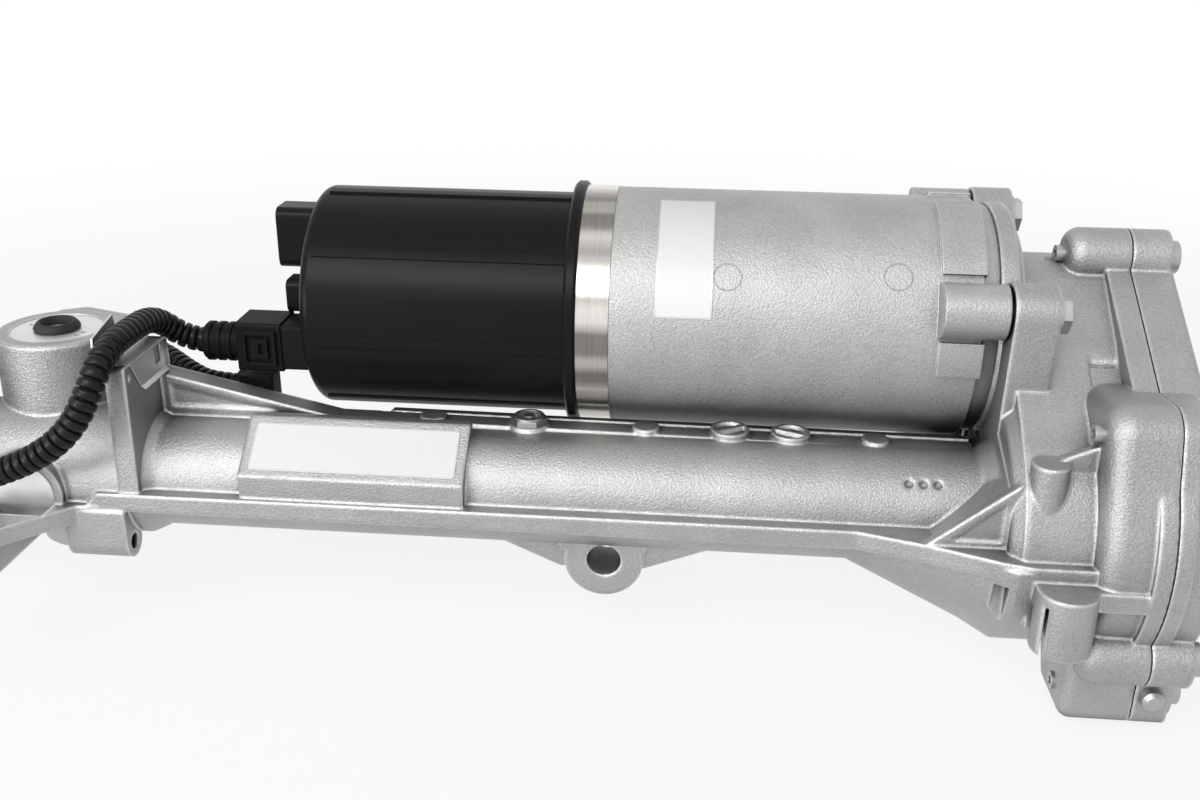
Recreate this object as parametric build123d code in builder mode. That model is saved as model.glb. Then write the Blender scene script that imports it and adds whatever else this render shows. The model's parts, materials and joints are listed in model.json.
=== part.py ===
from build123d import *
from math import atan2, cos, pi, radians, sin, sqrt, tan
import os

os.makedirs("parts", exist_ok=True)

# Driving dimensions in millimetres. X runs along the rack, +Y away from the input side's viewer, +Z up.
# The origin is the middle of the bore in the centre mounting ear.
RACK_Z = 26.5
MOTOR_Y = 55.0
MOTOR_Z = 62.0
RUNNING = 0.04
SEAT_GAP = 0.3

# Main casting
TUBE_R = 23.0
TUBE_BORE_R = 18.0
END_BORE_R = 15.6
NECK_R = 22.0
LEFT_END_X = -292.0
LEFT_NECK_X = -266.0
BODY_R = 27.0
BODY_END_X = -190.0
DRUM_X = 152.0
LOWER_CONE_X = 96.0
LOWER_DRUM_R = 51.0
WEDGE_X = 121.0
WEDGE_HEIGHT = 28.0
DRUM_R = 46.0
BELT_CASE_X = 181.0
BELT_CASE_R = 55.5
SEAM_X = 205.0
SEAM_FLANGE_R = 58.0
SEAM_FLANGE_THICKNESS = 6.0
SEAM_STRIP = 9.0
SEAM_PROUD = 3.0
CASE_ROUND = 8.0
CASE_CORNER_R = 12.0
MOTOR_CASE_R = 28.0
CASE_WALL = 5.5
CHAMBER_X = 184.6
EAR_LAND_R = 16.6
CAST_ROUND = 2.5

# Pinion tower
TOWER_X = -233.0
PINION_Y = 15.5
TOWER_TOP_Z = 55.0
TOWER_R = 25.0
TOWER_FOOT_Z = -40.0
LOWER_TOWER_R = 18.0
CAP_R = 18.4
CAP_THICKNESS = 7.0
SEAL_R = 8.6
SEAL_HOLE_R = 5.4
SEAL_PROUD = 3.2
SHELF_Z = 52.0
SHELF_THICKNESS = 6.0

# Ribs and bosses of the casting
FLANGE_Y = 29.5
FLANGE_TOP_Z = 1.5
FLANGE_THICKNESS = 7.5
LOW_FLANGE_TOP_Z = -4.0
JOG_X = -203.0
WEB_X = -189.5
WEB_THICKNESS = 8.0
WEB_FRONT_Y = -26.0
WEB_BACK_Y = 14.0
WEB_TOP_Z = 54.0
CREST_Y = 9.0
CREST_WIDTH = 9.0
CREST_TOP_Z = 24.6
CREST_START_X = -100.0
CREST_FALL = 0.0105
CREST_BOSSES = [(-73.0, 5.8), (15.0, 5.8), (107.5, 5.8)]
CREST_CAPS = [(49.0, 35.0), (73.5, -25.0)]
CREST_CAP_R = 8.2
REAR_RAIL_Y = 18.5
HEX_PLUG_X = -33.0
HEX_PLUG_R = 7.8
DIMPLES_X = (118.0, 123.5, 129.0)
DIMPLE_TILT = 46.0
PAD_LEFT_X = -144.5
PAD_LENGTH = 90.0
PAD_HEIGHT = 27.0
PAD_DISTANCE = 26.0
PAD_TILT = 50.0
LABEL_THICKNESS = 0.3
HOUSING_LABEL = (83.0, 21.0)
MOTOR_LABEL_WIDTH = 22.5
MOTOR_LABEL_ARC = 64.0

# Mounting points
EAR_R = 16.0
EAR_BORE_R = 7.0
EAR_DEPTH = 24.0
MOUNT_BOSS_R = 11.0
MOUNT_BOSS_HEIGHT = 24.0
MOUNT_THREAD_R = 5.1
MOUNT_THREAD_DEPTH = 18.0
LEFT_MOUNT = (-247.0, -57.0)
RIGHT_MOUNT = (171.0, -55.0)

# Cover and its bolts: (y, z) about the rack axis
COVER_THICKNESS = 17.0
COVER_WALL = 5.0
COVER_NECK_END_X = 292.0
GASKET = 0.6
COVER_BOLTS = [(50.0, 92.0), (-31.0, 47.0), (-44.0, -37.0), (-31.0, -58.5), (36.0, -46.0), (59.0, 2.0), (84.0, 52.0)]
COVER_LUG_R = 11.0
COVER_BOLT_R = 3.5
COVER_BOLT_HEAD_R = 6.6
COVER_BOLT_TIP_X = 181.0
FOOT_BOX_Z = -68.5
FOOT_BOX_Y = -45.0
FOOT_PIN = (211.5, -54.5)
FOOT_PIN_R = 4.2
FOOT_ROUND = 6.0
FOOT_OUTLINE = [(FOOT_BOX_Y, -20.0), (FOOT_BOX_Y, FOOT_BOX_Z), (-14.0, FOOT_BOX_Z), (4.0, -40.0), (4.0, -20.0)]

# Motor and control unit
MOTOR_R = 50.0
MOTOR_X = -1.0
MOTOR_END_X = 150.0
MOTOR_WALL = 5.0
MOTOR_EARS = [20.0, 140.0, 260.0]
MOTOR_EAR_CIRCLE_R = 54.0
MOTOR_EAR_R = 10.6
MOTOR_EAR_X = 126.0
HOUSING_EAR_R = 11.5
HOUSING_EAR_X = 168.0
MOTOR_BOLT_R = 4.0
MOTOR_BOLT_HEAD_R = 8.2
MOTOR_SPIGOT_R = 24.0
MOTOR_FLANGE = (48.0, 7.0)
MOTOR_STEP = (40.0, 11.0)
EAR_GAP = 1.4
BAND_X = -14.0
ECU_RING_X = -19.0
ECU_RING_R = 52.0
ECU_X = -127.0
ECU_R = 47.0
ECU_WALL = 3.0
SHAFT_R = 5.0
ROTOR_R = 22.0
CORE_X = (28.0, 112.0)

# Rack, screw and pinion
RACK_R = 14.0
SCREW_R = 12.6
SCREW_X = (70.0, 360.0)
RACK_END_X = 368.0
MODULE = 2.0
PINION_TEETH = 8
RACK_TEETH = 30
BACKLASH = 0.25
RACK_ADDENDUM = 1.2
RACK_DEDENDUM = 2.6
PINION_ADDENDUM = 2.2
PINION_DEDENDUM = 1.5
PRESSURE_ANGLE = 20.0
PINION_WIDTH = 26.0
NUT_R = 24.0
NUT_X = (158.0, 209.0)
NUT_BORE_R = 14.4
BALL_R = 1.75
NUT_BALLS = 12
DRIVEN_TEETH = 60
MOTOR_TEETH = 22
BELT_PITCH = 4.7
BELT_THICKNESS = 2.5
BELT_WIDTH = 17.0
BELT_X = 186.0

PINION_ROOM_R = 11.4
LOWER_BEARING_R = 12.0
UPPER_BEARING_R = 15.0
UPPER_BEARING_Z = 16.0
SENSOR_Z = 25.0
YOKE_R = 13.0
YOKE_BOSS_Y = 30.0
NUT_BEARING_R = 38.0
NUT_BEARING_X = (159.0, 174.0)
BUSHING_X = (262.0, 282.0)
BUSHING_R = 17.0
JOURNAL_R = 8.0
LOWER_JOURNAL_R = 5.0
TORSION_BAR_R = 2.5
SOCKET_R = 3.2
INPUT_NECK_R = 5.1

# Tie rods and bellows
BALL_JOINT_R = 12.0
BALL_CENTRE_X = 386.0
BALL_HOUSING_R = 17.0
SEAT_R = 14.5
ROD_NECK_R = 6.0
ROD_R = 7.0
ROD_END_X = 540.0
STUD_R = 7.0
BELLOWS_R = 30.0
BELLOWS_ROOT_R = 23.5
BELLOWS_WALL = 1.3
BELLOWS_FOLDS = 12

# Harness: corrugated conduit from the control unit's plug over the web and round the tower
CONDUIT_R = 5.4
HARNESS_ROUTE = [
    (-169.0, 27.0, 48.0),
    (-178.0, 27.0, 48.0),
    (-186.0, 25.5, 52.0),
    (-190.5, 20.5, 58.2),
    (-191.4, 11.0, 61.6),
    (-191.3, -0.5, 62.4),
    (-191.3, -11.5, 62.5),
    (-191.3, -22.0, 62.2),
    (-192.0, -33.0, 57.5),
    (-194.5, -39.0, 48.0),
    (-199.0, -42.0, 38.5),
    (-206.0, -44.0, 30.5),
    (-215.5, -45.0, 24.0),
    (-226.0, -45.5, 19.0),
    (-239.5, -45.5, 14.0),
    (-253.0, -40.5, 13.5),
    (-264.0, -29.5, 18.5),
    (-270.5, -14.5, 26.5),
    (-272.0, 3.0, 33.5),
    (-269.5, 20.5, 37.0),
    (-261.0, 36.0, 37.0),
    (-247.0, 48.0, 36.5),
    (-230.0, 53.5, 36.0),
    (-213.0, 51.0, 35.0),
    (-199.0, 42.0, 34.0),
    (-186.5, 32.0, 31.5),
    (-173.0, 25.0, 28.5),
    (-157.0, 25.0, 28.5),
]

RACK_AXIS = Axis((0, 0, RACK_Z), (1, 0, 0))
MOTOR_AXIS = Axis((0, MOTOR_Y, RACK_Z + MOTOR_Z), (1, 0, 0))
TOWER_AXIS = Axis((TOWER_X, PINION_Y, RACK_Z), (0, 0, 1))


def across(x):
    """Plane square to the rack at station x; the sketch is (y, z) about the rack axis."""
    return Plane(origin=(x, 0, RACK_Z), x_dir=(0, 1, 0), z_dir=(1, 0, 0))


def motor_across(x):
    """Plane square to the motor at station x; the sketch is (y, z) about the motor axis."""
    return Plane(origin=(x, MOTOR_Y, RACK_Z + MOTOR_Z), x_dir=(0, 1, 0), z_dir=(1, 0, 0))


def level(z):
    """Level plane at height z over the rack axis; the sketch is (x, y)."""
    return Plane(origin=(0, 0, RACK_Z + z))


def facing(y):
    """Upright plane along the rack at depth y; the sketch is (x, z) and its normal points at the viewer."""
    return Plane(origin=(0, y, RACK_Z), x_dir=(1, 0, 0), z_dir=(0, -1, 0))


def motor_facing():
    """Upright plane through the motor axis; the sketch is (x, radius)."""
    return Plane(origin=(0, MOTOR_Y, RACK_Z + MOTOR_Z), x_dir=(1, 0, 0), z_dir=(0, -1, 0))


def tower_facing():
    """Upright plane through the tower axis; the sketch is (radius, z)."""
    return Plane(origin=(TOWER_X, PINION_Y, RACK_Z), x_dir=(1, 0, 0), z_dir=(0, -1, 0))


def turned(plane, axis, points, mode=Mode.ADD):
    """Revolve a closed outline about an axis."""
    with BuildSketch(plane) as outline:
        with BuildLine():
            Polyline(*points, close=True)
        make_face()
    revolve(outline.sketch, axis=axis, mode=mode)


def ring(plane, axis, start, end, inner, outer, mode=Mode.ADD):
    """A turned ring between two stations along a horizontal axis."""
    turned(plane, axis, [(start, inner), (end, inner), (end, outer), (start, outer)], mode)


def upright_ring(low, high, inner, outer, mode=Mode.ADD):
    """A turned ring between two heights about the tower axis."""
    turned(tower_facing(), TOWER_AXIS, [(inner, low), (outer, low), (outer, high), (inner, high)], mode)


def upright_boss(x, y, low, high, radius, draft=0.0):
    """A vertical cast boss that narrows upwards by its draft."""
    with BuildSketch(level(low)) as outline:
        with Locations((x, y)):
            Circle(radius)
    extrude(outline.sketch, amount=high - low, taper=draft)


def lying_boss(y, z, start, end, radius, mode=Mode.ADD):
    """A cast boss along X."""
    with BuildSketch(across(start)) as outline:
        with Locations((y, z)):
            Circle(radius)
    extrude(outline.sketch, amount=end - start, mode=mode)


def domed_boss(y, z, start, end, radius, rounding):
    """A cast boss along X with a rounded left end."""
    with BuildPart(mode=Mode.PRIVATE) as boss:
        with BuildSketch(across(start)) as outline:
            with Locations((y, z)):
                Circle(radius)
        extrude(outline.sketch, amount=end - start)
        fillet(boss.edges().filter_by(GeomType.CIRCLE).sort_by(Axis.X)[0], rounding)
    add(boss.part)


def plate(plane, points, thickness, mode=Mode.ADD):
    """A flat rib or plate of a given outline, thickened along the plane's normal."""
    with BuildSketch(plane) as outline:
        with BuildLine():
            Polyline(*points, close=True)
        make_face()
    extrude(outline.sketch, amount=thickness, mode=mode)


def belt_outline(rack_radius, motor_radius):
    """The outline round both pulley axes, drawn in the active sketch."""
    Circle(rack_radius)
    with Locations((MOTOR_Y, MOTOR_Z)):
        Circle(motor_radius)
    make_hull()


def sector(inner, outer, start, end):
    """A band of a ring about the motor axis between two angles, counted from the viewer's side upwards."""
    with BuildLine() as outline:
        points = [
            (-radius * cos(radians(angle)), radius * sin(radians(angle)))
            for radius, angle in (
                (inner, start),
                (inner, (start + end) / 2),
                (inner, end),
                (outer, end),
                (outer, (start + end) / 2),
                (outer, start),
            )
        ]
        ThreePointArc(points[0], points[1], points[2])
        Line(points[2], points[3])
        ThreePointArc(points[3], points[4], points[5])
        Line(points[5], points[0])
    make_face(outline.edges())


def crest_top(x):
    """Height over the rack axis of the crest rail, which falls a little towards the belt case."""
    return CREST_TOP_Z - CREST_FALL * (x - CREST_START_X)


def save(piece, name):
    """Label a finished piece and write it."""
    piece.part.label = name
    export_step(piece.part, f"parts/{name}.step")


def ear_centre(angle):
    """(y, z) about the motor axis of a motor ear, from the viewer's side upwards."""
    return -MOTOR_EAR_CIRCLE_R * cos(radians(angle)), MOTOR_EAR_CIRCLE_R * sin(radians(angle))


# Main casting: tube, tower, drums, belt case and every boss and rib
with BuildPart() as rack_housing:
    with BuildSketch(facing(0)) as outer_profile:
        with BuildLine():
            Polyline(
                (LEFT_END_X, 0),
                (LEFT_END_X, NECK_R),
                (LEFT_NECK_X, NECK_R),
                (LEFT_NECK_X + 6, BODY_R),
                (BODY_END_X, BODY_R),
                (BODY_END_X + 8, TUBE_R),
                (DRUM_X - 6, TUBE_R),
                (DRUM_X, TUBE_R + 6),
                (DRUM_X, DRUM_R - 5),
                (DRUM_X + 5, DRUM_R),
                (SEAM_X, DRUM_R),
                (SEAM_X, 0),
                close=True,
            )
        make_face()
        fillet(outer_profile.vertices().filter_by(lambda v: v.Y > 1 and LEFT_END_X < v.X < SEAM_X), CAST_ROUND)
    revolve(axis=RACK_AXIS)
    # lower half of the drum, a wider cone under the parting flange
    with BuildPart(mode=Mode.PRIVATE) as lower_cone:
        turned(
            facing(0),
            RACK_AXIS,
            [
                (LOWER_CONE_X, 0),
                (LOWER_CONE_X, TUBE_R - 0.5),
                (DRUM_X - 10, DRUM_R - 2),
                (DRUM_X + 2, LOWER_DRUM_R),
                (BELT_CASE_X + 2, LOWER_DRUM_R),
                (BELT_CASE_X + 2, 0),
            ],
        )
        split(bisect_by=level(FLANGE_TOP_Z - 2), keep=Keep.BOTTOM)
    add(lower_cone.part)
    # smooth wall from the motor's neck to the belt case, and the raised strip along the seam
    with BuildSketch(across(DRUM_X + 4)):
        belt_outline(DRUM_R - 0.5, MOTOR_CASE_R)
    extrude(amount=SEAM_X - DRUM_X - 4)
    with BuildSketch(across(SEAM_X - SEAM_STRIP)):
        belt_outline(BELT_CASE_R, MOTOR_CASE_R + SEAM_PROUD)
    extrude(amount=SEAM_STRIP)
    # belt case: a box with large rounds over the driven pulley and the upper front bolt
    with BuildPart(mode=Mode.PRIVATE) as case_box:
        with BuildSketch(across(BELT_CASE_X)) as case_outline:
            Circle(BELT_CASE_R)
            with Locations(COVER_BOLTS[1]):
                Circle(CASE_CORNER_R)
            make_hull()
        extrude(case_outline.sketch, amount=SEAM_X - BELT_CASE_X)
        fillet(case_box.faces().sort_by(Axis.X)[0].edges(), CASE_ROUND)
    add(case_box.part)
    with BuildSketch(across(SEAM_X - SEAM_FLANGE_THICKNESS)):
        Circle(SEAM_FLANGE_R)
    extrude(amount=SEAM_FLANGE_THICKNESS)
    # motor seat: flange disc, step, three ears and the column that carries the front ear
    ring(motor_facing(), MOTOR_AXIS, MOTOR_END_X, MOTOR_END_X + MOTOR_FLANGE[1], 0, MOTOR_FLANGE[0])
    ring(motor_facing(), MOTOR_AXIS, MOTOR_END_X, MOTOR_END_X + MOTOR_STEP[1], 0, MOTOR_STEP[0])
    for angle in MOTOR_EARS:
        ear_y, ear_z = ear_centre(angle)
        with BuildSketch(motor_across(MOTOR_END_X + EAR_GAP)):
            with Locations((ear_y, ear_z)):
                Circle(HOUSING_EAR_R)
            with Locations((ear_y * 0.62, ear_z * 0.62)):
                Circle(HOUSING_EAR_R)
            make_hull()
        extrude(amount=HOUSING_EAR_X - MOTOR_END_X - EAR_GAP)
    ear_y, ear_z = ear_centre(MOTOR_EARS[0])
    column_y = MOTOR_Y + ear_y
    plate(
        across(MOTOR_END_X + EAR_GAP),
        [
            (column_y - HOUSING_EAR_R, MOTOR_Z + ear_z),
            (column_y - HOUSING_EAR_R + 3, DRUM_R - 12),
            (-DRUM_R * 0.72, DRUM_R * 0.5),
            (DRUM_R * 0.5, DRUM_R * 0.5),
            (MOTOR_Y, MOTOR_Z - 20),
            (MOTOR_Y, MOTOR_Z),
        ],
        HOUSING_EAR_X - MOTOR_END_X - EAR_GAP,
    )
    # parting flange along the tube, front and back, and the low flanges out to the mounting bosses
    plate(
        level(FLANGE_TOP_Z - FLANGE_THICKNESS),
        [
            (JOG_X, -FLANGE_Y),
            (98, -FLANGE_Y),
            (125, -38),
            (149, -48),
            (160, -51),
            (SEAM_X - 3, -LOWER_DRUM_R),
            (SEAM_X - 3, SEAM_FLANGE_R - 1.5),
            (150, 50),
            (125, 38),
            (98, FLANGE_Y),
            (JOG_X, FLANGE_Y),
        ],
        FLANGE_THICKNESS,
    )
    plate(
        level(LOW_FLANGE_TOP_Z - FLANGE_THICKNESS),
        [
            (JOG_X + 2, -FLANGE_Y),
            (-211, -FLANGE_Y - 1),
            (-226, -46),
            (LEFT_MOUNT[0] + 4, LEFT_MOUNT[1] - 8),
            (LEFT_MOUNT[0] - 9, LEFT_MOUNT[1] + 2),
            (LEFT_NECK_X + 2, -24),
            (LEFT_NECK_X + 2, FLANGE_Y),
            (JOG_X + 2, FLANGE_Y),
        ],
        FLANGE_THICKNESS,
    )
    plate(
        facing(FLANGE_Y),
        [
            (JOG_X, FLANGE_TOP_Z),
            (JOG_X - 5, LOW_FLANGE_TOP_Z),
            (JOG_X - 5, LOW_FLANGE_TOP_Z - FLANGE_THICKNESS),
            (JOG_X + 6, LOW_FLANGE_TOP_Z - FLANGE_THICKNESS),
            (JOG_X + 12, FLANGE_TOP_Z - FLANGE_THICKNESS),
            (JOG_X + 12, FLANGE_TOP_Z),
        ],
        2 * FLANGE_Y,
    )
    # shelf from the right mounting boss to the seam
    plate(
        level(LOW_FLANGE_TOP_Z - FLANGE_THICKNESS),
        [(160, -40), (160, -55), (RIGHT_MOUNT[0], -62), (182, -57), (SEAM_X - 3, -57), (SEAM_X - 3, -40)],
        FLANGE_THICKNESS,
    )
    for boss_x, boss_y in (LEFT_MOUNT, RIGHT_MOUNT):
        upright_boss(boss_x, boss_y, LOW_FLANGE_TOP_Z - MOUNT_BOSS_HEIGHT, LOW_FLANGE_TOP_Z, MOUNT_BOSS_R)
    plate(
        facing(RIGHT_MOUNT[1] + 8),
        [(160, LOW_FLANGE_TOP_Z), (160, -26), (182, -26), (182, LOW_FLANGE_TOP_Z)],
        -24,
    )
    plate(
        facing(LEFT_MOUNT[1] + 6),
        [(-257, LOW_FLANGE_TOP_Z), (-257, -26), (-237, -26), (-237, LOW_FLANGE_TOP_Z)],
        -34,
    )
    # tower over the pinion, its lower bearing housing and the shelf behind it
    turned(
        tower_facing(),
        TOWER_AXIS,
        [
            (0, TOWER_FOOT_Z),
            (LOWER_TOWER_R - 2, TOWER_FOOT_Z),
            (LOWER_TOWER_R, TOWER_FOOT_Z + 2),
            (LOWER_TOWER_R + 1, 0),
            (TOWER_R + 2, 12),
            (TOWER_R, 24),
            (TOWER_R - 0.5, TOWER_TOP_Z - 1),
            (TOWER_R - 1.5, TOWER_TOP_Z),
            (0, TOWER_TOP_Z),
        ],
    )
    with BuildSketch(level(SHELF_Z - SHELF_THICKNESS)) as shelf:
        with BuildLine():
            Polyline((-246, 20), (-249, 47), (-238, 53), (-216, 45), (-206, 36), (-204, 21), (-222, 8), close=True)
        make_face()
        fillet(shelf.vertices(), 4)
    extrude(amount=SHELF_THICKNESS)
    # yoke boss towards the viewer
    with BuildSketch(facing(0)):
        with Locations((TOWER_X, 0)):
            Circle(YOKE_R + 4)
    extrude(amount=YOKE_BOSS_Y, taper=1)
    # web that carries the harness clip, and the gusset behind it
    with BuildSketch(across(WEB_X - WEB_THICKNESS / 2)) as web:
        with BuildLine():
            Polyline(
                (WEB_FRONT_Y - 2, 0),
                (WEB_FRONT_Y, WEB_TOP_Z),
                (WEB_BACK_Y, WEB_TOP_Z),
                (WEB_BACK_Y + 2, 0),
                close=True,
            )
        make_face()
        fillet(web.vertices().filter_by(lambda v: v.Y > 10), 1.5)
    extrude(amount=WEB_THICKNESS)
    plate(
        facing(14),
        [(WEB_X, 10), (WEB_X, 42), (-112, CREST_TOP_Z), (-96, CREST_TOP_Z - 0.1), (-96, 10)],
        10,
    )
    plate(
        facing(4.01),
        [(WEB_X + 8, 27), (WEB_X + 8, 36.5), (-136, 27)],
        -1.6,
        Mode.SUBTRACT,
    )
    # crest rail with its bosses
    plate(
        facing(CREST_Y + CREST_WIDTH / 2),
        [
            (CREST_START_X, 8),
            (CREST_START_X, crest_top(CREST_START_X)),
            (DRUM_X - 6, crest_top(DRUM_X - 6)),
            (DRUM_X - 6, 8),
        ],
        CREST_WIDTH,
    )
    plate(
        facing(REAR_RAIL_Y + 2),
        [
            (CREST_START_X - 12, 4),
            (CREST_START_X + 8, crest_top(0)),
            (DRUM_X - 6, crest_top(DRUM_X)),
            (DRUM_X - 6, 4),
        ],
        4,
    )
    for boss_x, boss_r in CREST_BOSSES:
        upright_boss(boss_x, CREST_Y, 8, crest_top(boss_x) + 1.6, boss_r, 1)
    for cap_x, bar_angle in CREST_CAPS:
        upright_boss(cap_x, CREST_Y, 8, crest_top(cap_x) + 2.6, CREST_CAP_R, 1)
        with BuildSketch(level(crest_top(cap_x) + 2.6)):
            with Locations((cap_x, CREST_Y)):
                Circle(CREST_CAP_R - 1.8)
                Rectangle(2 * CREST_CAP_R, 2.4, rotation=bar_angle, mode=Mode.SUBTRACT)
        extrude(amount=-1.4, mode=Mode.SUBTRACT)
    upright_boss(HEX_PLUG_X, CREST_Y, 8, crest_top(HEX_PLUG_X) + 0.6, HEX_PLUG_R + 1, 1)
    # label pad on the front of the tube
    pad_y = -PAD_DISTANCE * cos(radians(PAD_TILT))
    pad_z = PAD_DISTANCE * sin(radians(PAD_TILT))
    half_y = PAD_HEIGHT / 2 * sin(radians(PAD_TILT))
    half_z = PAD_HEIGHT / 2 * cos(radians(PAD_TILT))
    plate(
        across(PAD_LEFT_X),
        [
            (pad_y - half_y, 0),
            (pad_y - half_y, pad_z - half_z),
            (pad_y + half_y, pad_z + half_z),
            (pad_y + half_y + 4, pad_z + half_z),
            (pad_y + half_y + 4, 0),
        ],
        PAD_LENGTH,
    )
    # centre ear with its side webs
    with BuildSketch(facing(EAR_DEPTH / 2)):
        with Locations((0, -RACK_Z)):
            Circle(EAR_R)
        with BuildLine():
            Polyline((-18, -22), (-19, -12), (18, -12), (17, -22), (0, -RACK_Z), close=True)
        make_face()
    extrude(amount=EAR_DEPTH)
    plate(
        facing(8),
        [(-52, -12), (-52, -16), (-18, -31), (0, -31), (15, -31), (46, -19), (46, -12)],
        18,
    )
    # seat of the sensor lead's connector behind the gusset
    plate(level(4), [(-164, 8), (-164, 31), (-142, 31), (-142, 8)], 16)
    # drilled boss under the left body, small posts and gusset ribs at the right
    lying_boss(-24, -22, -217, -192, 6.6)
    plate(across(-217), [(-30.6, -22), (-30.6, -6), (-17.4, -6), (-17.4, -22)], 25)
    upright_boss(DRUM_X + 12, -35, 8, 36.5, 7)
    plate(
        facing(-29),
        [(DRUM_X + 12, 20), (DRUM_X + 12, 35), (BELT_CASE_X + 6, 45.5), (BELT_CASE_X + 6, 20)],
        4,
    )
    wedge = [(WEDGE_X, 0), (DRUM_X + 3, WEDGE_HEIGHT), (DRUM_X + 3, 0)]
    plate(facing(34), [(x + 3, z - 0.5) for x, z in wedge], 68)
    for front in (-33, 37):
        plate(facing(front), wedge, 4)
    plate(
        facing(-36),
        [(WEDGE_X + 11, 4), (DRUM_X - 2, WEDGE_HEIGHT - 8), (DRUM_X - 2, 4)],
        2,
        Mode.SUBTRACT,
    )
    # cover bolt lugs and the foot box under the belt case
    for bolt_y, bolt_z in COVER_BOLTS:
        domed_boss(bolt_y, bolt_z, COVER_BOLT_TIP_X, SEAM_X, COVER_LUG_R, 6)
    with BuildPart(mode=Mode.PRIVATE) as foot_box:
        with BuildSketch(across(COVER_BOLT_TIP_X - 2)) as foot_outline:
            Polygon(*FOOT_OUTLINE, align=None)
            fillet(foot_outline.vertices().filter_by(lambda v: v.Y < FOOT_BOX_Z + 1), FOOT_ROUND)
        extrude(foot_outline.sketch, amount=SEAM_X - COVER_BOLT_TIP_X + 2)
        fillet(foot_box.faces().sort_by(Axis.X)[0].edges(), FOOT_ROUND - 1)
    add(foot_box.part)
    # room for the motor can over the tube
    ring(motor_facing(), MOTOR_AXIS, -40, MOTOR_END_X, 0, MOTOR_R + 2.4, Mode.SUBTRACT)
    # inside: rack bore, nut and belt chambers, motor spigot, pinion and yoke bores
    turned(
        facing(0),
        RACK_AXIS,
        [
            (LEFT_END_X - 1, 0),
            (LEFT_END_X - 1, END_BORE_R),
            (LEFT_NECK_X + 4, END_BORE_R),
            (LEFT_NECK_X + 4, TUBE_BORE_R),
            (-EAR_R - 8, TUBE_BORE_R),
            (-EAR_R - 4, EAR_LAND_R),
            (EAR_R + 4, EAR_LAND_R),
            (EAR_R + 8, TUBE_BORE_R),
            (DRUM_X - 3, TUBE_BORE_R),
            (NUT_X[0] - 1, NUT_R),
            (NUT_X[0] - 1, NUT_BEARING_R),
            (CHAMBER_X, NUT_BEARING_R),
            (CHAMBER_X, BELT_CASE_R - CASE_WALL),
            (SEAM_X + 1, BELT_CASE_R - CASE_WALL),
            (SEAM_X + 1, 0),
        ],
        Mode.SUBTRACT,
    )
    with BuildSketch(across(CHAMBER_X)):
        belt_outline(BELT_CASE_R - CASE_WALL, MOTOR_CASE_R - CASE_WALL)
    extrude(amount=SEAM_X - CHAMBER_X + 1, mode=Mode.SUBTRACT)
    ring(motor_facing(), MOTOR_AXIS, MOTOR_END_X - 1, MOTOR_END_X + 14, 0, MOTOR_SPIGOT_R + RUNNING, Mode.SUBTRACT)
    ring(motor_facing(), MOTOR_AXIS, MOTOR_END_X + 13, CHAMBER_X + 1, 0, MOTOR_CASE_R - CASE_WALL, Mode.SUBTRACT)
    # slots between the ribs under the parting flange
    for slot_x in (DRUM_X - 5, DRUM_X + 10):
        plate(facing(-42.5), [(slot_x, -8), (slot_x + 5, -8), (slot_x + 5, -30), (slot_x, -30)], 20, Mode.SUBTRACT)
    upright_ring(TOWER_FOOT_Z + 4, -PINION_WIDTH / 2 - 1, 0, LOWER_BEARING_R, Mode.SUBTRACT)
    upright_ring(-PINION_WIDTH / 2 - 1, UPPER_BEARING_Z, 0, PINION_ROOM_R, Mode.SUBTRACT)
    upright_ring(UPPER_BEARING_Z, SENSOR_Z, 0, UPPER_BEARING_R, Mode.SUBTRACT)
    upright_ring(SENSOR_Z, TOWER_TOP_Z + 1, 0, CAP_R, Mode.SUBTRACT)
    with BuildSketch(facing(0)):
        with Locations((TOWER_X, 0)):
            Circle(YOKE_R + RUNNING)
    extrude(amount=40, mode=Mode.SUBTRACT)
    # mounting bore and threads, bolt holes, plug and sensor sockets
    with BuildSketch(facing(EAR_DEPTH)):
        with Locations((0, -RACK_Z)):
            Circle(EAR_BORE_R)
    extrude(amount=2 * EAR_DEPTH, mode=Mode.SUBTRACT)
    for boss_x, boss_y in (LEFT_MOUNT, RIGHT_MOUNT):
        with BuildSketch(level(LOW_FLANGE_TOP_Z - MOUNT_BOSS_HEIGHT)):
            with Locations((boss_x, boss_y)):
                Circle(MOUNT_THREAD_R)
        extrude(amount=MOUNT_THREAD_DEPTH, mode=Mode.SUBTRACT)
    for bolt_y, bolt_z in COVER_BOLTS:
        lying_boss(bolt_y, bolt_z, COVER_BOLT_TIP_X - 7, SEAM_X + 1, COVER_BOLT_R, Mode.SUBTRACT)
    for angle in MOTOR_EARS:
        ear_y, ear_z = ear_centre(angle)
        bolt_y = MOTOR_Y + ear_y
        bolt_z = MOTOR_Z + ear_z
        lying_boss(bolt_y, bolt_z, MOTOR_END_X - 1, HOUSING_EAR_X + 1, MOTOR_BOLT_R, Mode.SUBTRACT)
        lying_boss(bolt_y, bolt_z, HOUSING_EAR_X, HOUSING_EAR_X + 8, MOTOR_BOLT_HEAD_R + 0.8, Mode.SUBTRACT)
    lying_boss(-24, -22, -208, -190, 3.4, Mode.SUBTRACT)
    with BuildSketch(level(crest_top(HEX_PLUG_X) - 4)):
        with Locations((HEX_PLUG_X, CREST_Y)):
            Circle(HEX_PLUG_R - 2.6)
    extrude(amount=10, mode=Mode.SUBTRACT)
    lying_boss(WEB_FRONT_Y + 3, WEB_TOP_Z - 5, WEB_X + WEB_THICKNESS / 2 - 5, WEB_X + WEB_THICKNESS / 2 + 1, 1.1, Mode.SUBTRACT)
    for dimple_x in DIMPLES_X:
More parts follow.
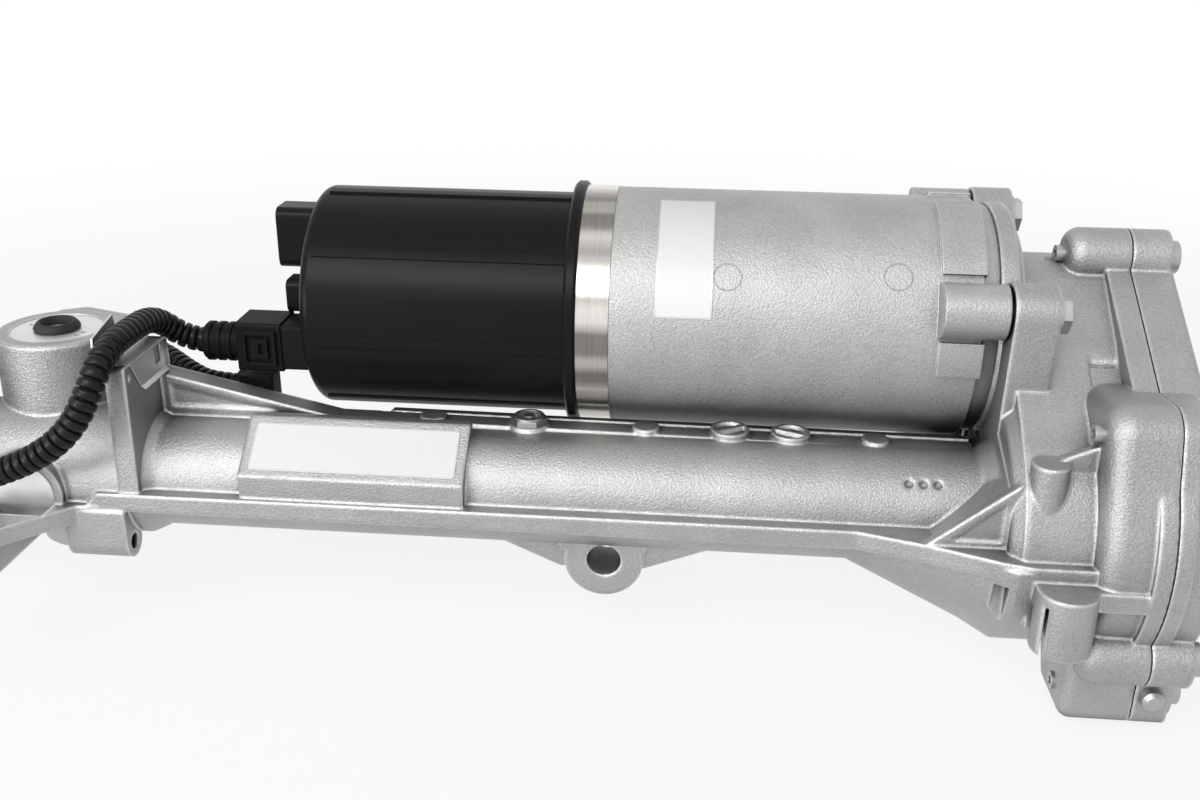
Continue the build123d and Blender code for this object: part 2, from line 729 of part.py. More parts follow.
        with Locations((dimple_x, -TUBE_R * cos(radians(DIMPLE_TILT)), RACK_Z + TUBE_R * sin(radians(DIMPLE_TILT)))):
            Sphere(1.9, mode=Mode.SUBTRACT)
save(rack_housing, "rack_housing")


# Cover of the belt case with the right-hand rack neck
COVER_X = SEAM_X + GASKET
COVER_FACE_X = COVER_X + COVER_THICKNESS
with BuildPart() as gear_housing_cover:
    with BuildPart(mode=Mode.PRIVATE) as cover_box:
        with BuildSketch(across(COVER_X)) as cover_outline:
            belt_outline(BELT_CASE_R, MOTOR_CASE_R + SEAM_PROUD)
        extrude(cover_outline.sketch, amount=COVER_THICKNESS)
        fillet(cover_box.faces().sort_by(Axis.X)[-1].edges(), CAST_ROUND)
    add(cover_box.part)
    with BuildSketch(across(COVER_X)):
        Circle(BELT_CASE_R)
        with Locations(COVER_BOLTS[1]):
            Circle(CASE_CORNER_R)
        make_hull()
    extrude(amount=COVER_THICKNESS - 2 * CAST_ROUND)
    with BuildSketch(across(COVER_X)):
        Circle(SEAM_FLANGE_R)
    extrude(amount=SEAM_FLANGE_THICKNESS)
    for bolt_y, bolt_z in COVER_BOLTS:
        lying_boss(bolt_y, bolt_z, COVER_X, COVER_FACE_X - 1.6, COVER_LUG_R)
    with BuildSketch(across(COVER_X)) as cover_foot:
        Polygon(*FOOT_OUTLINE, align=None)
        fillet(cover_foot.vertices().filter_by(lambda v: v.Y < FOOT_BOX_Z + 1), FOOT_ROUND)
    extrude(amount=COVER_THICKNESS - 4)
    turned(
        facing(0),
        RACK_AXIS,
        [
            (COVER_FACE_X - 4, 0),
            (COVER_FACE_X - 4, 42),
            (COVER_FACE_X + 3, 38),
            (COVER_FACE_X + 12, 28),
            (-LEFT_NECK_X - 8, 25),
            (-LEFT_NECK_X, NECK_R),
            (COVER_NECK_END_X, NECK_R),
            (COVER_NECK_END_X, 0),
        ],
    )
    for angle in range(0, 360, 45):
        with BuildSketch(across(COVER_FACE_X - 3)):
            with Locations(Rotation(0, 0, angle)):
                with Locations((36, 0)):
                    Rectangle(20, 4)
        extrude(amount=7, taper=3)
    # inside: belt chamber, rack passage and bushing seat, bolt holes
    with BuildSketch(across(COVER_X - 1)):
        belt_outline(BELT_CASE_R - CASE_WALL, MOTOR_CASE_R - CASE_WALL)
    extrude(amount=COVER_THICKNESS - COVER_WALL + 1, mode=Mode.SUBTRACT)
    turned(
        facing(0),
        RACK_AXIS,
        [
            (COVER_X, 0),
            (COVER_X, TUBE_BORE_R),
            (BUSHING_X[0] - 4, TUBE_BORE_R - 2),
            (BUSHING_X[0], BUSHING_R - 2),
            (BUSHING_X[0], BUSHING_R),
            (BUSHING_X[1], BUSHING_R),
            (BUSHING_X[1], END_BORE_R),
            (COVER_NECK_END_X + 1, END_BORE_R),
            (COVER_NECK_END_X + 1, 0),
        ],
        Mode.SUBTRACT,
    )
    for bolt_y, bolt_z in COVER_BOLTS:
        lying_boss(bolt_y, bolt_z, COVER_X - 1, COVER_FACE_X + 1, COVER_BOLT_R + SEAT_GAP, Mode.SUBTRACT)
        lying_boss(bolt_y, bolt_z, COVER_FACE_X - 1.6, COVER_FACE_X + 9, COVER_BOLT_HEAD_R + 2.2, Mode.SUBTRACT)
    with BuildSketch(facing(FOOT_BOX_Y - 1)):
        with Locations(FOOT_PIN):
            Circle(FOOT_PIN_R)
    extrude(amount=-9, mode=Mode.SUBTRACT)
save(gear_housing_cover, "gear_housing_cover")

with BuildPart() as cover_gasket:
    with BuildSketch(across(SEAM_X)):
        belt_outline(BELT_CASE_R, MOTOR_CASE_R + SEAM_PROUD)
        Circle(SEAM_FLANGE_R)
        with Locations(*COVER_BOLTS):
            Circle(COVER_LUG_R)
        with BuildSketch(Plane.XY, mode=Mode.PRIVATE) as chamber:
            belt_outline(BELT_CASE_R - CASE_WALL, MOTOR_CASE_R - CASE_WALL)
        add(chamber.sketch, mode=Mode.SUBTRACT)
        with Locations(*COVER_BOLTS):
            Circle(COVER_BOLT_R + SEAT_GAP, mode=Mode.SUBTRACT)
    extrude(amount=GASKET)
save(cover_gasket, "cover_gasket")

# Cover bolts: flanged heads on the cover, tips standing out of the housing lugs
HEAD_X = COVER_FACE_X - 1.6
with BuildPart() as cover_bolts:
    for bolt_y, bolt_z in COVER_BOLTS:
        lying_boss(bolt_y, bolt_z, COVER_BOLT_TIP_X - 3, HEAD_X, COVER_BOLT_R - RUNNING)
        lying_boss(bolt_y, bolt_z, HEAD_X, HEAD_X + 1.6, COVER_BOLT_HEAD_R + 1.2)
        lying_boss(bolt_y, bolt_z, HEAD_X + 1.6, HEAD_X + 4.6, COVER_BOLT_HEAD_R)
        lying_boss(bolt_y, bolt_z, HEAD_X + 2.2, HEAD_X + 5, COVER_BOLT_HEAD_R - 3.4, Mode.SUBTRACT)
        lying_boss(bolt_y, bolt_z, COVER_BOLT_TIP_X - 4, COVER_BOLT_TIP_X - 1.6, 1.6, Mode.SUBTRACT)
save(cover_bolts, "cover_bolts")

with BuildPart() as cover_plug:
    with BuildSketch(facing(FOOT_BOX_Y + 8)):
        with Locations(FOOT_PIN):
            Circle(FOOT_PIN_R - RUNNING)
    extrude(amount=11)
    with BuildSketch(facing(FOOT_BOX_Y - 3)):
        with Locations(FOOT_PIN):
            Circle(FOOT_PIN_R - RUNNING)
    extrude(amount=1.6, taper=40)
save(cover_plug, "cover_plug")

# Motor bolts through the housing ears into the motor
with BuildPart() as motor_bolts:
    for angle in MOTOR_EARS:
        ear_y, ear_z = ear_centre(angle)
        bolt_y = MOTOR_Y + ear_y
        bolt_z = MOTOR_Z + ear_z
        lying_boss(bolt_y, bolt_z, MOTOR_EAR_X + 6, HOUSING_EAR_X, MOTOR_BOLT_R - RUNNING)
        lying_boss(bolt_y, bolt_z, HOUSING_EAR_X, HOUSING_EAR_X + 1.8, MOTOR_BOLT_HEAD_R)
        with BuildSketch(across(HOUSING_EAR_X + 1.8)):
            with Locations((bolt_y, bolt_z)):
                RegularPolygon(6.5, 6, major_radius=False)
        extrude(amount=3.4)
save(motor_bolts, "motor_bolts")

# Motor: can, end shield, bearings, stator, rotor, shaft
with BuildPart() as motor_housing:
    ring(motor_facing(), MOTOR_AXIS, MOTOR_X, MOTOR_END_X - 7, MOTOR_R - MOTOR_WALL, MOTOR_R)
    turned(
        motor_facing(),
        MOTOR_AXIS,
        [
            (MOTOR_END_X - 10, SHAFT_R + 1),
            (MOTOR_END_X - 10, MOTOR_R - MOTOR_WALL),
            (MOTOR_END_X - 7, MOTOR_R - 1.6),
            (MOTOR_END_X, MOTOR_R - 3),
            (MOTOR_END_X, MOTOR_SPIGOT_R),
            (MOTOR_END_X + 9, MOTOR_SPIGOT_R),
            (MOTOR_END_X + 10, MOTOR_SPIGOT_R - 1),
            (MOTOR_END_X + 10, SHAFT_R + 1),
        ],
    )
    for angle in MOTOR_EARS:
        ear_y, ear_z = ear_centre(angle)
        with BuildSketch(motor_across(MOTOR_EAR_X)):
            with Locations((ear_y, ear_z)):
                Circle(MOTOR_EAR_R)
            with Locations((ear_y * 0.78, ear_z * 0.78)):
                Circle(MOTOR_EAR_R)
            make_hull()
            Circle(MOTOR_R - 2, mode=Mode.SUBTRACT)
        extrude(amount=MOTOR_END_X - MOTOR_EAR_X)
    for start, end in ((36.0, 82.0), (-10.0, 6.0), (98.0, 124.0), (158.0, 200.0), (216.0, 245.0)):
        with BuildSketch(motor_across(MOTOR_EAR_X + 1)):
            sector(MOTOR_R - 2, MOTOR_R + 1.5, start, end)
        extrude(amount=MOTOR_END_X - MOTOR_EAR_X - 7)
    ring(motor_facing(), MOTOR_AXIS, MOTOR_END_X - 9, MOTOR_END_X - 1, 0, 11, Mode.SUBTRACT)
    for angle in MOTOR_EARS:
        ear_y, ear_z = ear_centre(angle)
        lying_boss(
            MOTOR_Y + ear_y, MOTOR_Z + ear_z, MOTOR_EAR_X + 4, MOTOR_END_X + 1, MOTOR_BOLT_R, Mode.SUBTRACT)
save(motor_housing, "motor_housing")

with BuildPart() as motor_end_shield:
    ring(motor_facing(), MOTOR_AXIS, MOTOR_X + 3, MOTOR_X + 7, 9, MOTOR_R - MOTOR_WALL)
    ring(motor_facing(), MOTOR_AXIS, MOTOR_X + 3, MOTOR_X + 14, 11, 15)
save(motor_end_shield, "motor_end_shield")

BEARING_WIDTH = 8.0
with BuildPart() as motor_bearings:
    ring(motor_facing(), MOTOR_AXIS, MOTOR_X + 7, MOTOR_X + 7 + BEARING_WIDTH - 1, SHAFT_R + RUNNING, 11)
    ring(motor_facing(), MOTOR_AXIS, MOTOR_END_X - 9, MOTOR_END_X - 1, SHAFT_R + RUNNING, 11)
save(motor_bearings, "motor_bearings")

with BuildPart() as stator:
    ring(motor_facing(), MOTOR_AXIS, CORE_X[0], CORE_X[1], ROTOR_R + 1, MOTOR_R - MOTOR_WALL)
    with BuildSketch(motor_across(CORE_X[0])):
        with PolarLocations(31, 9):
            Rectangle(13, 7)
    extrude(amount=CORE_X[1] - CORE_X[0], mode=Mode.SUBTRACT)
save(stator, "stator")

with BuildPart() as rotor:
    ring(motor_facing(), MOTOR_AXIS, CORE_X[0], CORE_X[1], SHAFT_R, ROTOR_R)
save(rotor, "rotor")

with BuildPart() as motor_shaft:
    turned(
        motor_facing(),
        MOTOR_AXIS,
        [
            (MOTOR_X + 2, 0),
            (MOTOR_X + 2, SHAFT_R - 0.6),
            (MOTOR_X + 2.6, SHAFT_R),
            (BELT_X + BELT_WIDTH + 0.4, SHAFT_R),
            (BELT_X + BELT_WIDTH + 1, SHAFT_R - 0.6),
            (BELT_X + BELT_WIDTH + 1, 0),
        ],
    )
save(motor_shaft, "motor_shaft")

# Toothed belt drive
DRIVEN_R = DRIVEN_TEETH * BELT_PITCH / (2 * pi)
MOTOR_PULLEY_R = MOTOR_TEETH * BELT_PITCH / (2 * pi)


def groove():
    """One belt groove as a private face, to be placed round a pulley."""
    with BuildSketch(Plane.XY, mode=Mode.PRIVATE) as shape:
        with BuildLine():
            Polyline((0.5, -1.3), (0.5, 1.3), (-1.4, 0.5), (-1.4, -0.5), close=True)
        make_face()
    return shape.sketch


with BuildPart() as motor_pulley:
    with BuildSketch(motor_across(BELT_X)):
        Circle(MOTOR_PULLEY_R)
        with PolarLocations(MOTOR_PULLEY_R, MOTOR_TEETH):
            add(groove(), mode=Mode.SUBTRACT)
        Circle(SHAFT_R, mode=Mode.SUBTRACT)
    extrude(amount=BELT_WIDTH)
save(motor_pulley, "motor_pulley")

with BuildPart() as driven_pulley:
    with BuildSketch(across(BELT_X)):
        Circle(DRIVEN_R)
        with PolarLocations(DRIVEN_R, DRIVEN_TEETH):
            add(groove(), mode=Mode.SUBTRACT)
        Circle(NUT_R, mode=Mode.SUBTRACT)
    extrude(amount=BELT_WIDTH)
    ring(facing(0), RACK_AXIS, BELT_X - 1, BELT_X + 5, NUT_R + 5, DRIVEN_R - 5, Mode.SUBTRACT)
save(driven_pulley, "driven_pulley")

with BuildPart() as drive_belt:
    with BuildSketch(across(BELT_X + 0.5)):
        belt_outline(DRIVEN_R + SEAT_GAP + BELT_THICKNESS, MOTOR_PULLEY_R + SEAT_GAP + BELT_THICKNESS)
        with BuildSketch(Plane.XY, mode=Mode.PRIVATE) as inside:
            belt_outline(DRIVEN_R + SEAT_GAP, MOTOR_PULLEY_R + SEAT_GAP)
        add(inside.sketch, mode=Mode.SUBTRACT)
    extrude(amount=BELT_WIDTH - 1)
save(drive_belt, "drive_belt")

# Ball nut with its balls and bearing
BALL_ROW_X = (NUT_X[0] + NUT_X[1]) / 2
with BuildPart() as ball_nut:
    ring(facing(0), RACK_AXIS, NUT_X[0], NUT_X[1], NUT_BORE_R, NUT_R)
    ring(
        facing(0),
        RACK_AXIS,
        BALL_ROW_X - BALL_R - RUNNING,
        BALL_ROW_X + BALL_R + RUNNING,
        NUT_BORE_R - 1,
        SCREW_R + 2 * BALL_R + 2 * RUNNING,
        Mode.SUBTRACT,
    )
save(ball_nut, "ball_nut")

with BuildPart() as nut_balls:
    with Locations(across(BALL_ROW_X)):
        with PolarLocations(SCREW_R + BALL_R + RUNNING, NUT_BALLS):
            Sphere(BALL_R)
save(nut_balls, "nut_balls")

with BuildPart() as nut_bearing:
    ring(facing(0), RACK_AXIS, NUT_BEARING_X[0], NUT_BEARING_X[1], NUT_R + RUNNING, NUT_BEARING_R)
save(nut_bearing, "nut_bearing")

with BuildPart() as rack_bushing:
    ring(facing(0), RACK_AXIS, BUSHING_X[0], BUSHING_X[1], SCREW_R + RUNNING, BUSHING_R)
save(rack_bushing, "rack_bushing")

# Rack bar: teeth towards the pinion, ball screw at the right, threaded bores in both ends
PITCH = MODULE * pi
PITCH_R = MODULE * PINION_TEETH / 2
PITCH_LINE_Y = PINION_Y - PITCH_R
FLANK = tan(radians(PRESSURE_ANGLE))
HALF_GAP = PITCH / 4 + BACKLASH / 4
TOOTHED_LENGTH = RACK_TEETH * PITCH
with BuildPart() as rack_bar:
    turned(
        facing(0),
        RACK_AXIS,
        [
            (-RACK_END_X, 0),
            (-RACK_END_X, RACK_R - 1),
            (-RACK_END_X + 1, RACK_R),
            (SCREW_X[0] - 3, RACK_R),
            (SCREW_X[0], SCREW_R),
            (SCREW_X[1], SCREW_R),
            (SCREW_X[1] + 1, RACK_R),
            (RACK_END_X - 1, RACK_R),
            (RACK_END_X, RACK_R - 1),
            (RACK_END_X, 0),
        ],
    )
    for end_x, side in ((-RACK_END_X, 1), (RACK_END_X, -1)):
        with BuildSketch(across(end_x)):
            Circle(STUD_R)
        extrude(amount=side * 24, mode=Mode.SUBTRACT)
    with BuildSketch(level(-RACK_R)):
        with Locations((TOWER_X, PITCH_LINE_Y + RACK_ADDENDUM + 10)):
            Rectangle(TOOTHED_LENGTH, 20)
        with BuildSketch(Plane.XY, mode=Mode.PRIVATE) as gap:
            with BuildLine():
                Polyline(
                    (-HALF_GAP + RACK_DEDENDUM * FLANK, -RACK_DEDENDUM),
                    (HALF_GAP - RACK_DEDENDUM * FLANK, -RACK_DEDENDUM),
                    (HALF_GAP + (RACK_ADDENDUM + 1) * FLANK, RACK_ADDENDUM + 1),
                    (-HALF_GAP - (RACK_ADDENDUM + 1) * FLANK, RACK_ADDENDUM + 1),
                    close=True,
                )
            make_face()
        with Locations((TOWER_X, PITCH_LINE_Y)):
            with GridLocations(PITCH, 1, RACK_TEETH - 1, 1):
                add(gap.sketch)
    extrude(amount=2 * RACK_R, mode=Mode.SUBTRACT)
save(rack_bar, "rack_bar")


def involute(angle):
    """The involute function of a pressure angle in radians."""
    return tan(angle) - angle


def flank_angle(radius):
    """Half the tooth's width at a radius, as an angle about the pinion axis."""
    base_r = PITCH_R * cos(radians(PRESSURE_ANGLE))
    at_pitch = (PITCH / 4 - BACKLASH / 4) / PITCH_R
    here = 0.0
    if radius > base_r:
        here = involute(atan2(sqrt(radius**2 - base_r**2), base_r))
    return at_pitch + involute(radians(PRESSURE_ANGLE)) - here


# Pinion: eight teeth, journals for both bearings and the torsion bar's bore
PINION_TIP_R = PITCH_R + PINION_ADDENDUM
PINION_ROOT_R = PITCH_R - PINION_DEDENDUM
with BuildPart() as pinion_shaft:
    with BuildSketch(Plane(origin=(TOWER_X, PINION_Y, RACK_Z - PINION_WIDTH / 2))):
        Circle(PINION_ROOT_R)
        with BuildSketch(Plane.XY, mode=Mode.PRIVATE) as tooth:
            with BuildLine():
                corners = [
                    (radius * cos(side * flank_angle(radius)), radius * sin(side * flank_angle(radius)))
                    for side, radius in (
                        (-1, PINION_ROOT_R - 0.6),
                        (-1, PITCH_R),
                        (-1, PINION_TIP_R),
                        (1, PINION_TIP_R),
                        (1, PITCH_R),
                        (1, PINION_ROOT_R - 0.6),
                    )
                ]
                ThreePointArc(corners[0], corners[1], corners[2])
                Line(corners[2], corners[3])
                ThreePointArc(corners[3], corners[4], corners[5])
                Line(corners[5], corners[0])
            make_face()
        with PolarLocations(0, PINION_TEETH, start_angle=-90):
            add(tooth.sketch)
    extrude(amount=PINION_WIDTH)
    upright_ring(-PINION_WIDTH / 2 - 20, -PINION_WIDTH / 2, 0, LOWER_JOURNAL_R)
    upright_ring(PINION_WIDTH / 2, SENSOR_Z - 1.5, 0, JOURNAL_R)
    upright_ring(4, SENSOR_Z, 0, TORSION_BAR_R, Mode.SUBTRACT)
save(pinion_shaft, "pinion_shaft")

with BuildPart() as torsion_bar:
    upright_ring(4, 38, 0, TORSION_BAR_R)
save(torsion_bar, "torsion_bar")

with BuildPart() as input_shaft:
    turned(
        tower_facing(),
        TOWER_AXIS,
        [
            (TORSION_BAR_R + 0.5, SENSOR_Z + 0.5),
            (JOURNAL_R - 0.5, SENSOR_Z + 0.5),
            (JOURNAL_R, SENSOR_Z + 1),
            (JOURNAL_R, TOWER_TOP_Z - CAP_THICKNESS - 1),
            (INPUT_NECK_R, TOWER_TOP_Z - CAP_THICKNESS + 1),
            (INPUT_NECK_R, TOWER_TOP_Z),
            (SOCKET_R + 0.6, TOWER_TOP_Z),
            (SOCKET_R, TOWER_TOP_Z - 0.6),
            (SOCKET_R, TOWER_TOP_Z - 14),
            (0, TOWER_TOP_Z - 15),
            (0, 38.5),
            (TORSION_BAR_R + RUNNING, 38.5),
            (TORSION_BAR_R + RUNNING, 32),
            (TORSION_BAR_R + 0.5, 31.5),
        ],
    )
save(input_shaft, "input_shaft")

with BuildPart() as sensor_magnet:
    upright_ring(33, 43, JOURNAL_R, JOURNAL_R + 2)
save(sensor_magnet, "sensor_magnet")

with BuildPart() as torque_sensor:
    upright_ring(SENSOR_Z, 29, 12, CAP_R)
    upright_ring(29, 46, JOURNAL_R + 3, CAP_R)
save(torque_sensor, "torque_sensor")

with BuildPart() as pinion_upper_bearing:
    upright_ring(UPPER_BEARING_Z, SENSOR_Z, JOURNAL_R + RUNNING, UPPER_BEARING_R)
save(pinion_upper_bearing, "pinion_upper_bearing")

with BuildPart() as pinion_lower_bearing:
    upright_ring(TOWER_FOOT_Z + 8, TOWER_FOOT_Z + 20, LOWER_JOURNAL_R + RUNNING, LOWER_BEARING_R)
save(pinion_lower_bearing, "pinion_lower_bearing")

# Cap, with two pairs of spanner holes, and the rubber ring round the input
with BuildPart() as pinion_cap:
    upright_ring(TOWER_TOP_Z - CAP_THICKNESS, TOWER_TOP_Z - 0.3, SEAL_R, CAP_R)
    with BuildSketch(Plane(origin=(TOWER_X, PINION_Y, RACK_Z + TOWER_TOP_Z))):
        with PolarLocations(13.2, 2, start_angle=-22, angular_range=360):
            with Locations((0, 1.8), (0, -1.8)):
                Circle(1.1)
    extrude(amount=-3, mode=Mode.SUBTRACT)
save(pinion_cap, "pinion_cap")

with BuildPart() as input_seal:
    turned(
        tower_facing(),
        TOWER_AXIS,
        [
            (SEAL_HOLE_R, TOWER_TOP_Z - CAP_THICKNESS + 1),
            (SEAL_R, TOWER_TOP_Z - CAP_THICKNESS + 1),
            (SEAL_R, TOWER_TOP_Z + SEAL_PROUD - 1.2),
            (SEAL_R - 1.6, TOWER_TOP_Z + SEAL_PROUD),
            (SEAL_HOLE_R + 0.4, TOWER_TOP_Z + SEAL_PROUD),
            (SEAL_HOLE_R, TOWER_TOP_Z + SEAL_PROUD - 0.6),
        ],
    )
save(input_seal, "input_seal")

# Yoke that presses the rack on the pinion, its disc spring and its adjusting plug
with BuildPart() as yoke:
    with BuildSketch(facing(-6)):
        with Locations((TOWER_X, 0)):
            Circle(YOKE_R)
    extrude(amount=18)
    ring(facing(0), RACK_AXIS, TOWER_X - 15, TOWER_X + 15, 0, RACK_R + RUNNING, Mode.SUBTRACT)
save(yoke, "yoke")

YOKE_AXIS = Axis((TOWER_X, 0, RACK_Z), (0, -1, 0))
with BuildPart() as yoke_spring:
    with BuildSketch(Plane(origin=(TOWER_X, 0, RACK_Z), x_dir=(1, 0, 0), z_dir=(0, 0, 1))):
        with BuildLine():
            Polyline((5, -24.1), (10, -25.4), (10, -26.6), (5, -25.3), close=True)
        make_face()
    revolve(axis=YOKE_AXIS)
save(yoke_spring, "yoke_spring")

with BuildPart() as yoke_plug:
    with BuildSketch(facing(-26.7)):
        with Locations((TOWER_X, 0)):
            Circle(YOKE_R)
    extrude(amount=YOKE_BOSS_Y - 26.7)
save(yoke_plug, "yoke_plug")

# Hexagon plug in the crest, with a collar round its socket
PLUG_SEAT_Z = crest_top(HEX_PLUG_X) + 0.6
with BuildPart() as crest_plug:
    with BuildSketch(level(PLUG_SEAT_Z - 4)):
        with Locations((HEX_PLUG_X, CREST_Y)):
            Circle(HEX_PLUG_R - 2.6 - RUNNING)
    extrude(amount=4)
    with BuildSketch(level(PLUG_SEAT_Z)):
        with Locations((HEX_PLUG_X, CREST_Y)):
            RegularPolygon(HEX_PLUG_R, 6)
    extrude(amount=2.4)
    with BuildSketch(level(PLUG_SEAT_Z)):
        with Locations((HEX_PLUG_X, CREST_Y)):
            Circle(HEX_PLUG_R - 1.6)
    extrude(amount=3.2)
    with BuildSketch(level(PLUG_SEAT_Z + 3.2)):
        with Locations((HEX_PLUG_X, CREST_Y)):
            Circle(HEX_PLUG_R - 3)
            RegularPolygon(2.6, 6, mode=Mode.SUBTRACT)
    extrude(amount=-1.6, mode=Mode.SUBTRACT)
save(crest_plug, "crest_plug")

# Labels, bare
with BuildPart() as housing_label:
    with BuildSketch(
        Plane(
            origin=(PAD_LEFT_X + PAD_LENGTH / 2, pad_y, RACK_Z + pad_z),
            x_dir=(1, 0, 0),
            z_dir=(0, -cos(radians(PAD_TILT)), sin(radians(PAD_TILT))),
        )
    ):
        RectangleRounded(HOUSING_LABEL[0], HOUSING_LABEL[1], 1.5)
    extrude(amount=LABEL_THICKNESS)
save(housing_label, "housing_label")

with BuildPart() as motor_label:
    with BuildSketch(motor_across(17)):
        sector(MOTOR_R + RUNNING, MOTOR_R + LABEL_THICKNESS, 12, 12 + MOTOR_LABEL_ARC)
    extrude(amount=MOTOR_LABEL_WIDTH)
save(motor_label, "motor_label")

# Control unit: steel band, flange, cover, board and connectors
with BuildPart() as steel_band:
    ring(motor_facing(), MOTOR_AXIS, BAND_X, MOTOR_X, MOTOR_R - 3, MOTOR_R + 0.4)
save(steel_band, "steel_band")

BOARD_X = -58.0
with BuildPart() as ecu_flange:
    turned(
        motor_facing(),
        MOTOR_AXIS,
        [
            (ECU_RING_X, ECU_R - ECU_WALL - 6),
            (ECU_RING_X, ECU_RING_R - 1),
            (ECU_RING_X + 1, ECU_RING_R),
            (BAND_X - 1, ECU_RING_R),
            (BAND_X, ECU_RING_R - 1),
            (BAND_X, ECU_R - ECU_WALL - 6),
        ],
    )
    ring(motor_facing(), MOTOR_AXIS, BAND_X - 3, BAND_X, SHAFT_R + 5, ECU_R - 8)
    with BuildSketch(motor_across(BOARD_X)):
        with PolarLocations(36, 3, start_angle=30):
            Circle(3)
    extrude(amount=BAND_X - BOARD_X - 2)
save(ecu_flange, "ecu_flange")

with BuildPart() as ecu_board:
    with BuildSketch(motor_across(BOARD_X - 2)):
        Circle(40)
    extrude(amount=2)
    with BuildSketch(motor_across(BOARD_X - 2)):
        with Locations((-12, 14), (12, 14), (0, -12)):
            Circle(7)
    extrude(amount=-16)
save(ecu_board, "ecu_board")

with BuildPart() as ecu_cover:
    ring(motor_facing(), MOTOR_AXIS, ECU_X, ECU_RING_X, 0, ECU_R)
    fillet(ecu_cover.edges().filter_by(GeomType.CIRCLE).sort_by(Axis.X)[0], 4)
    for step in range(8):
        angle = step * 45 - 7
        with BuildSketch(motor_across(ECU_X + 5)):
            sector(ECU_R - 1, ECU_R + 0.9, angle - 2.6, angle + 2.6)
        extrude(amount=ECU_RING_X - ECU_X - 5)
    ring(motor_facing(), MOTOR_AXIS, ECU_X + ECU_WALL, ECU_RING_X, 0, ECU_R - ECU_WALL, Mode.SUBTRACT)
save(ecu_cover, "ecu_cover")


def socket_shell(centre_y, centre_z, size_y, size_z, length, wall, rounding):
    """A connector shroud on the control unit's end, open to the left."""
    with BuildSketch(across(ECU_X)) as outside:
        with Locations((centre_y, centre_z)):
            RectangleRounded(size_y, size_z, rounding)
    extrude(outside.sketch, amount=-length)
    with BuildSketch(across(ECU_X - length)) as inside:
        with Locations((centre_y, centre_z)):
            RectangleRounded(size_y - 2 * wall, size_z - 2 * wall, rounding - wall / 2)
    extrude(inside.sketch, amount=length - 3, mode=Mode.SUBTRACT)


POWER_SOCKET = (54.0, 88.5, 18.0, 26.0, 18.5)
AUX_SOCKET = (40.0, 66.5, 14.0, 14.0, 12.5)
SIGNAL_SOCKET = (27.0, 49.0, 20.0, 21.0, 11.0)
with BuildPart() as power_connector:
    socket_shell(*POWER_SOCKET, 1.8, 4)
    with BuildSketch(across(ECU_X - 3)):
        with Locations((POWER_SOCKET[0], POWER_SOCKET[1] + 5.5), (POWER_SOCKET[0], POWER_SOCKET[1] - 5.5)):
            Rectangle(8, 1.4)
    extrude(amount=-5)
save(power_connector, "power_connector")

with BuildPart() as aux_connector:
    socket_shell(*AUX_SOCKET, 1.6, 3)
save(aux_connector, "aux_connector")

PLUG_X = ECU_X - SIGNAL_SOCKET[4]
PLUG_LENGTH = 19.0
with BuildPart() as signal_header:
    with BuildSketch(across(ECU_X)):
        with Locations(SIGNAL_SOCKET[:2]):
            RectangleRounded(SIGNAL_SOCKET[2] - 1.5, SIGNAL_SOCKET[3] - 1.5, 1.5)
    extrude(amount=-SIGNAL_SOCKET[4])
save(signal_header, "signal_header")

with BuildPart() as signal_plug:
    with BuildSketch(across(PLUG_X)):
        with Locations(SIGNAL_SOCKET[:2]):
            RectangleRounded(SIGNAL_SOCKET[2], SIGNAL_SOCKET[3], 1.5)
    extrude(amount=-PLUG_LENGTH)
    with BuildSketch(facing(SIGNAL_SOCKET[0] - SIGNAL_SOCKET[2] / 2)):
        with Locations((PLUG_X - 9, SIGNAL_SOCKET[1])):
            Rectangle(14, 15)
            Rectangle(11, 12, mode=Mode.SUBTRACT)
            Rectangle(7.5, 8.5)
            with Locations((1, 0)):
                Rectangle(2.4, 4.5, mode=Mode.SUBTRACT)
    extrude(amount=1.6)
save(signal_plug, "signal_plug")

ADAPTOR_X = PLUG_X - PLUG_LENGTH
with BuildPart() as conduit_adaptor:
    lying_boss(27, 48, ADAPTOR_X - 16, ADAPTOR_X, 7.6)
    for step in range(3):
        lying_boss(27, 48, ADAPTOR_X - 15 + 4.6 * step, ADAPTOR_X - 13 + 4.6 * step, 8.4)
    lying_boss(27, 48, ADAPTOR_X - 17, HARNESS_ROUTE[0][0], CONDUIT_R + SEAT_GAP, Mode.SUBTRACT)
save(conduit_adaptor, "conduit_adaptor")

with BuildPart() as sensor_connector:
    with BuildSketch(level(20)) as sensor_block:
        with Locations((-151.5, 25)):
            RectangleRounded(15, 12, 2)
    extrude(amount=15.5)
    with BuildSketch(across(-160)):
        with Locations((25, 28.5)):
            Circle(7.2)
    extrude(amount=2)
    with BuildSketch(across(-161)):
        with Locations((25, 28.5)):
            Circle(CONDUIT_R + SEAT_GAP)
    extrude(amount=4, mode=Mode.SUBTRACT)
save(sensor_connector, "sensor_connector")

